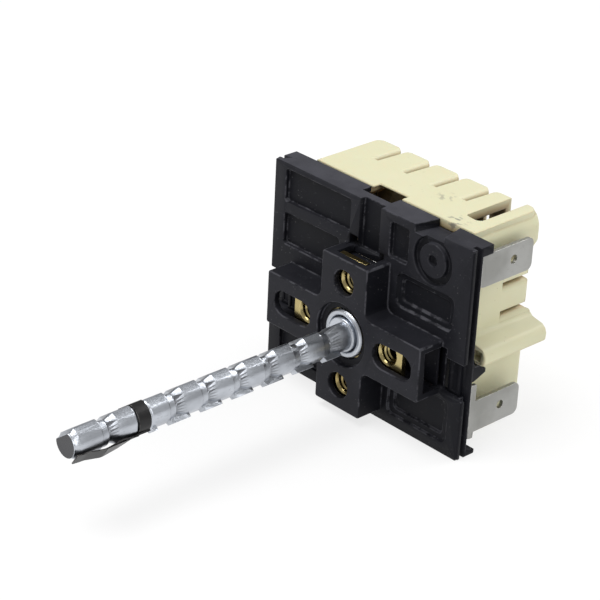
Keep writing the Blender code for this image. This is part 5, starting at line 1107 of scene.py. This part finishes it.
class SWITCH_OT_shaft(bpy.types.Operator):
    """Finish the cast shaft, its bushing, clip and ring."""

    bl_idname = "switch.shaft"
    bl_label = "Shaft"

    def execute(self, context):
        shaft = finished_copy(
            "shaft", "cast_shaft", sizes().cast_round, segments=1, sharp=30.0, smooth=24.0,
            reshape=sharpen_casting,
        )
        mark_faces(shaft, "cast_facet", on_facet)
        mark_faces(shaft, "sawn_end", on_sawn_end)
        mark_faces(shaft, "cast_shade", casting_shade)
        finished_copy("shaft_bushing", "rolled_bushing", sizes().small_round)
        finished_copy("knob_clip", "clip_strip", sizes().sheet_round, reshape=draw_out_tongue)
        finished_copy("shaft_retaining_ring", "retaining_ring_finish", sizes().sheet_round)
        return {"FINISHED"}


# Tapped plate

TAP_OFFSET = 10.4 * MM
TAP_RADIUS = 1.85 * MM
TAP_FRONT = drawn(PLATE_LOW.y) + 0.45 * MM
TAP_BACK = drawn(PLATE_HIGH.y) - 0.1 * MM
TAPS = (
    ("thread_right", TAP_OFFSET, 0.0),
    ("thread_left", -TAP_OFFSET, 0.0),
    ("thread_top", 0.0, TAP_OFFSET),
    ("thread_bottom", 0.0, -TAP_OFFSET),
)

# Thread: steps in a turn, shares of its depth sunk in the wall and of its pitch filled, plain profile
THREAD_STEPS = 24
THREAD_SUNK = 0.2
THREAD_WIDTH = 0.6
TRIANGLE_DEPTH = 1.5
TRIANGLE_WIDTH = math.sqrt(3)


def tap_thread(name, across, up):
    """One tapped hole's thread: a sharp crest wound along the bore, its ends closed."""
    pitch, depth = sizes().thread_pitch, sizes().thread_depth
    turns = (TAP_BACK - TAP_FRONT - pitch) / pitch
    profile = (depth / TRIANGLE_DEPTH * (1 + THREAD_SUNK), pitch / TRIANGLE_WIDTH * THREAD_WIDTH, 1.0)
    deselect_all()
    bpy.ops.mesh.primitive_circle_add(vertices=3, radius=1.0, rotation=(0.0, 0.0, math.pi / 2))
    thread = bpy.context.object
    thread.name = name
    bpy.ops.object.transform_apply(location=True, rotation=True, scale=True)
    bpy.ops.object.mode_set(mode="EDIT")
    bpy.ops.mesh.select_all(action="SELECT")
    bpy.ops.transform.resize(value=profile, center_override=(0.0, 0.0, 0.0))
    bpy.ops.transform.translate(value=(TAP_RADIUS - depth * THREAD_SUNK, 0.0, 0.0))
    bpy.ops.object.mode_set(mode="OBJECT")
    wound = thread.modifiers.new("wound", "SCREW")
    wound.axis = "Y"
    wound.angle = 2 * math.pi * turns
    wound.screw_offset = pitch * turns
    wound.steps = wound.render_steps = round(THREAD_STEPS * turns)
    wound.use_merge_vertices = False
    bpy.ops.object.modifier_apply(modifier=wound.name)
    bpy.ops.object.mode_set(mode="EDIT")
    bpy.ops.mesh.select_all(action="SELECT")
    bpy.ops.mesh.fill_holes(sides=3)
    bpy.ops.mesh.normals_make_consistent(inside=False)
    bpy.ops.object.mode_set(mode="OBJECT")
    thread.location = (across, TAP_FRONT + pitch / 2, AXIS_HEIGHT + up)
    settled(thread, "brass_strap", "switch_body")


class SWITCH_OT_plate(bpy.types.Operator):
    """Finish the tapped plate and cut its threads."""

    bl_idname = "switch.plate"
    bl_label = "Tapped plate"

    def execute(self, context):
        finished_copy("mounting_plate", "tapped_plate", sizes().sheet_round)
        for name, across, up in TAPS:
            tap_thread(name, across, up)
        return {"FINISHED"}


# Terminals and works

TERMINALS = (
    "line_terminal_lower", "heater_terminal_right",
    "line_terminal_left", "heater_terminal_left", "pilot_terminal",
)
DRESSED_BY_OTHERS = {
    "front_cover", "rear_housing", "shaft", "shaft_bushing", "knob_clip", "shaft_retaining_ring",
    "mounting_plate", *TERMINALS,
}
SMALL_SHARP_ANGLE = 35.0


class SWITCH_OT_terminals(bpy.types.Operator):
    """Finish the five blade terminals."""

    bl_idname = "switch.terminals"
    bl_label = "Terminals"

    def execute(self, context):
        for node in TERMINALS:
            finished_copy(node, f"{node}_finish", sizes().sheet_round, sharp=SMALL_SHARP_ANGLE)
        return {"FINISHED"}


class SWITCH_OT_works(bpy.types.Operator):
    """Finish the works inside: cam, blades, contacts, lever, bimetal, and the spring that shortens."""

    bl_idname = "switch.works"
    bl_label = "Works"

    def execute(self, context):
        for node in sorted(set(frame["nodes"]) - DRESSED_BY_OTHERS):
            piece = finished_copy(
                node, f"{node}_finish", sizes().small_round, segments=1, sharp=SMALL_SHARP_ANGLE
            )
            if node == "return_spring":
                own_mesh(piece)
        return {"FINISHED"}


# Studio

def studio_white(name, shade, camera_share):
    """Pale paper that is white to the camera, and to what metal mirrors, but keeps its shadow."""
    material = bpy.data.materials.new(name)
    material.use_nodes = True
    tree = material.node_tree
    tree.nodes.clear()
    paper = tree.nodes.new("ShaderNodeBsdfDiffuse")
    paper.inputs["Color"].default_value = (shade, shade, shade, 1.0)
    glow = tree.nodes.new("ShaderNodeEmission")
    rays = tree.nodes.new("ShaderNodeLightPath")
    seen = math_node(tree, "MAXIMUM", rays.outputs["Is Camera Ray"], rays.outputs["Is Glossy Ray"])
    seen = math_node(tree, "MAXIMUM", seen, rays.outputs["Is Transmission Ray"])
    share = math_node(tree, "MULTIPLY", seen, camera_share)
    blend = tree.nodes.new("ShaderNodeMixShader")
    output = tree.nodes.new("ShaderNodeOutputMaterial")
    tree.links.new(share, blend.inputs["Fac"])
    tree.links.new(paper.outputs["BSDF"], blend.inputs[1])
    tree.links.new(glow.outputs["Emission"], blend.inputs[2])
    tree.links.new(blend.outputs["Shader"], output.inputs["Surface"])
    return material


def area_lamp(name, place, size, power):
    """A softbox at a place, turned to the switch."""
    bpy.ops.object.light_add(type="AREA", location=place)
    lamp = bpy.context.object
    lamp.name = name
    lamp.data.shape = "RECTANGLE"
    lamp.data.size, lamp.data.size_y = size
    lamp.data.energy = power
    lamp.rotation_euler = (LAMP_TARGET - Vector(place)).to_track_quat("-Z", "Y").to_euler()


def photograph_camera():
    """The camera that the photograph was taken with, as fitted to its corners."""
    azimuth, elevation = math.radians(CAMERA_AZIMUTH), math.radians(CAMERA_ELEVATION)
    back = Vector((
        math.sin(azimuth) * math.cos(elevation),
        -math.cos(azimuth) * math.cos(elevation),
        math.sin(elevation),
    ))
    right = Vector((math.cos(azimuth), math.sin(azimuth), 0.0))
    upright = Matrix((right, back.cross(right), back)).transposed().to_4x4()
    bpy.ops.object.camera_add()
    camera = bpy.context.object
    camera.name = "photograph_camera"
    camera.data.lens = CAMERA_LENS
    camera.data.sensor_width = CAMERA_SENSOR
    camera.data.clip_start = CAMERA_NEAR
    rolled = upright @ Matrix.Rotation(math.radians(CAMERA_ROLL), 4, "Z")
    camera.matrix_world = Matrix.Translation(CAMERA_TARGET + back * CAMERA_DISTANCE) @ rolled
    return camera


class SWITCH_OT_stage(bpy.types.Operator):
    """Build the floor, the lamps, the world and the photograph's camera."""

    bl_idname = "switch.stage"
    bl_label = "Stage"

    def execute(self, context):
        scene = context.scene
        scene.view_settings.view_transform = "Standard"
        scene.camera = photograph_camera()

        deselect_all()
        bpy.ops.mesh.primitive_plane_add(size=FLOOR_SIZE, location=(0.0, 0.0, -FLOOR_GAP))
        floor = context.object
        floor.name = "studio_floor"
        bpy.ops.object.transform_apply(location=True)
        floor.data.materials.append(studio_white("studio_paper", PAPER_SHADE, PAPER_GLOW))

        for name, place, size, power in LAMPS:
            area_lamp(name, place, size, power)

        world = bpy.data.worlds.new("studio_air")
        world.use_nodes = True
        air = world.node_tree.nodes["Background"]
        air.inputs["Color"].default_value = (1.0, 1.0, 1.0, 1.0)
        air.inputs["Strength"].default_value = AIR_STRENGTH
        scene.world = world
        return {"FINISHED"}


OPERATORS = (
    SWITCH_OT_stage, SWITCH_OT_cover, SWITCH_OT_housing, SWITCH_OT_shaft,
    SWITCH_OT_plate, SWITCH_OT_terminals, SWITCH_OT_works,
)


class SWITCH_PT_finish(bpy.types.Panel):
    """Sizes, colours and the steps that build the finished switch."""

    bl_label = "Infinite switch"
    bl_space_type = "VIEW_3D"
    bl_region_type = "UI"
    bl_category = "Switch"

    def draw(self, context):
        layout = self.layout
        for settings in (context.scene.switch_sizes, context.scene.switch_finishes):
            column = layout.column()
            for name in settings.__annotations__:
                column.prop(settings, name)
        for operator in OPERATORS:
            layout.operator(operator.bl_idname)


CLASSES = (SwitchSizes, SwitchFinishes, *OPERATORS, SWITCH_PT_finish)


def register():
    for entry in CLASSES:
        bpy.utils.register_class(entry)
    bpy.types.Scene.switch_sizes = PointerProperty(type=SwitchSizes)
    bpy.types.Scene.switch_finishes = PointerProperty(type=SwitchFinishes)


def unregister():
    del bpy.types.Scene.switch_finishes
    del bpy.types.Scene.switch_sizes
    for entry in reversed(CLASSES):
        bpy.utils.unregister_class(entry)


def main():
    register()
    bpy.ops.switch.stage()
    bpy.ops.switch.cover()
    bpy.ops.switch.housing()
    bpy.ops.switch.shaft()
    bpy.ops.switch.plate()
    bpy.ops.switch.terminals()
    bpy.ops.switch.works()


if __name__ == "__main__":
    main()
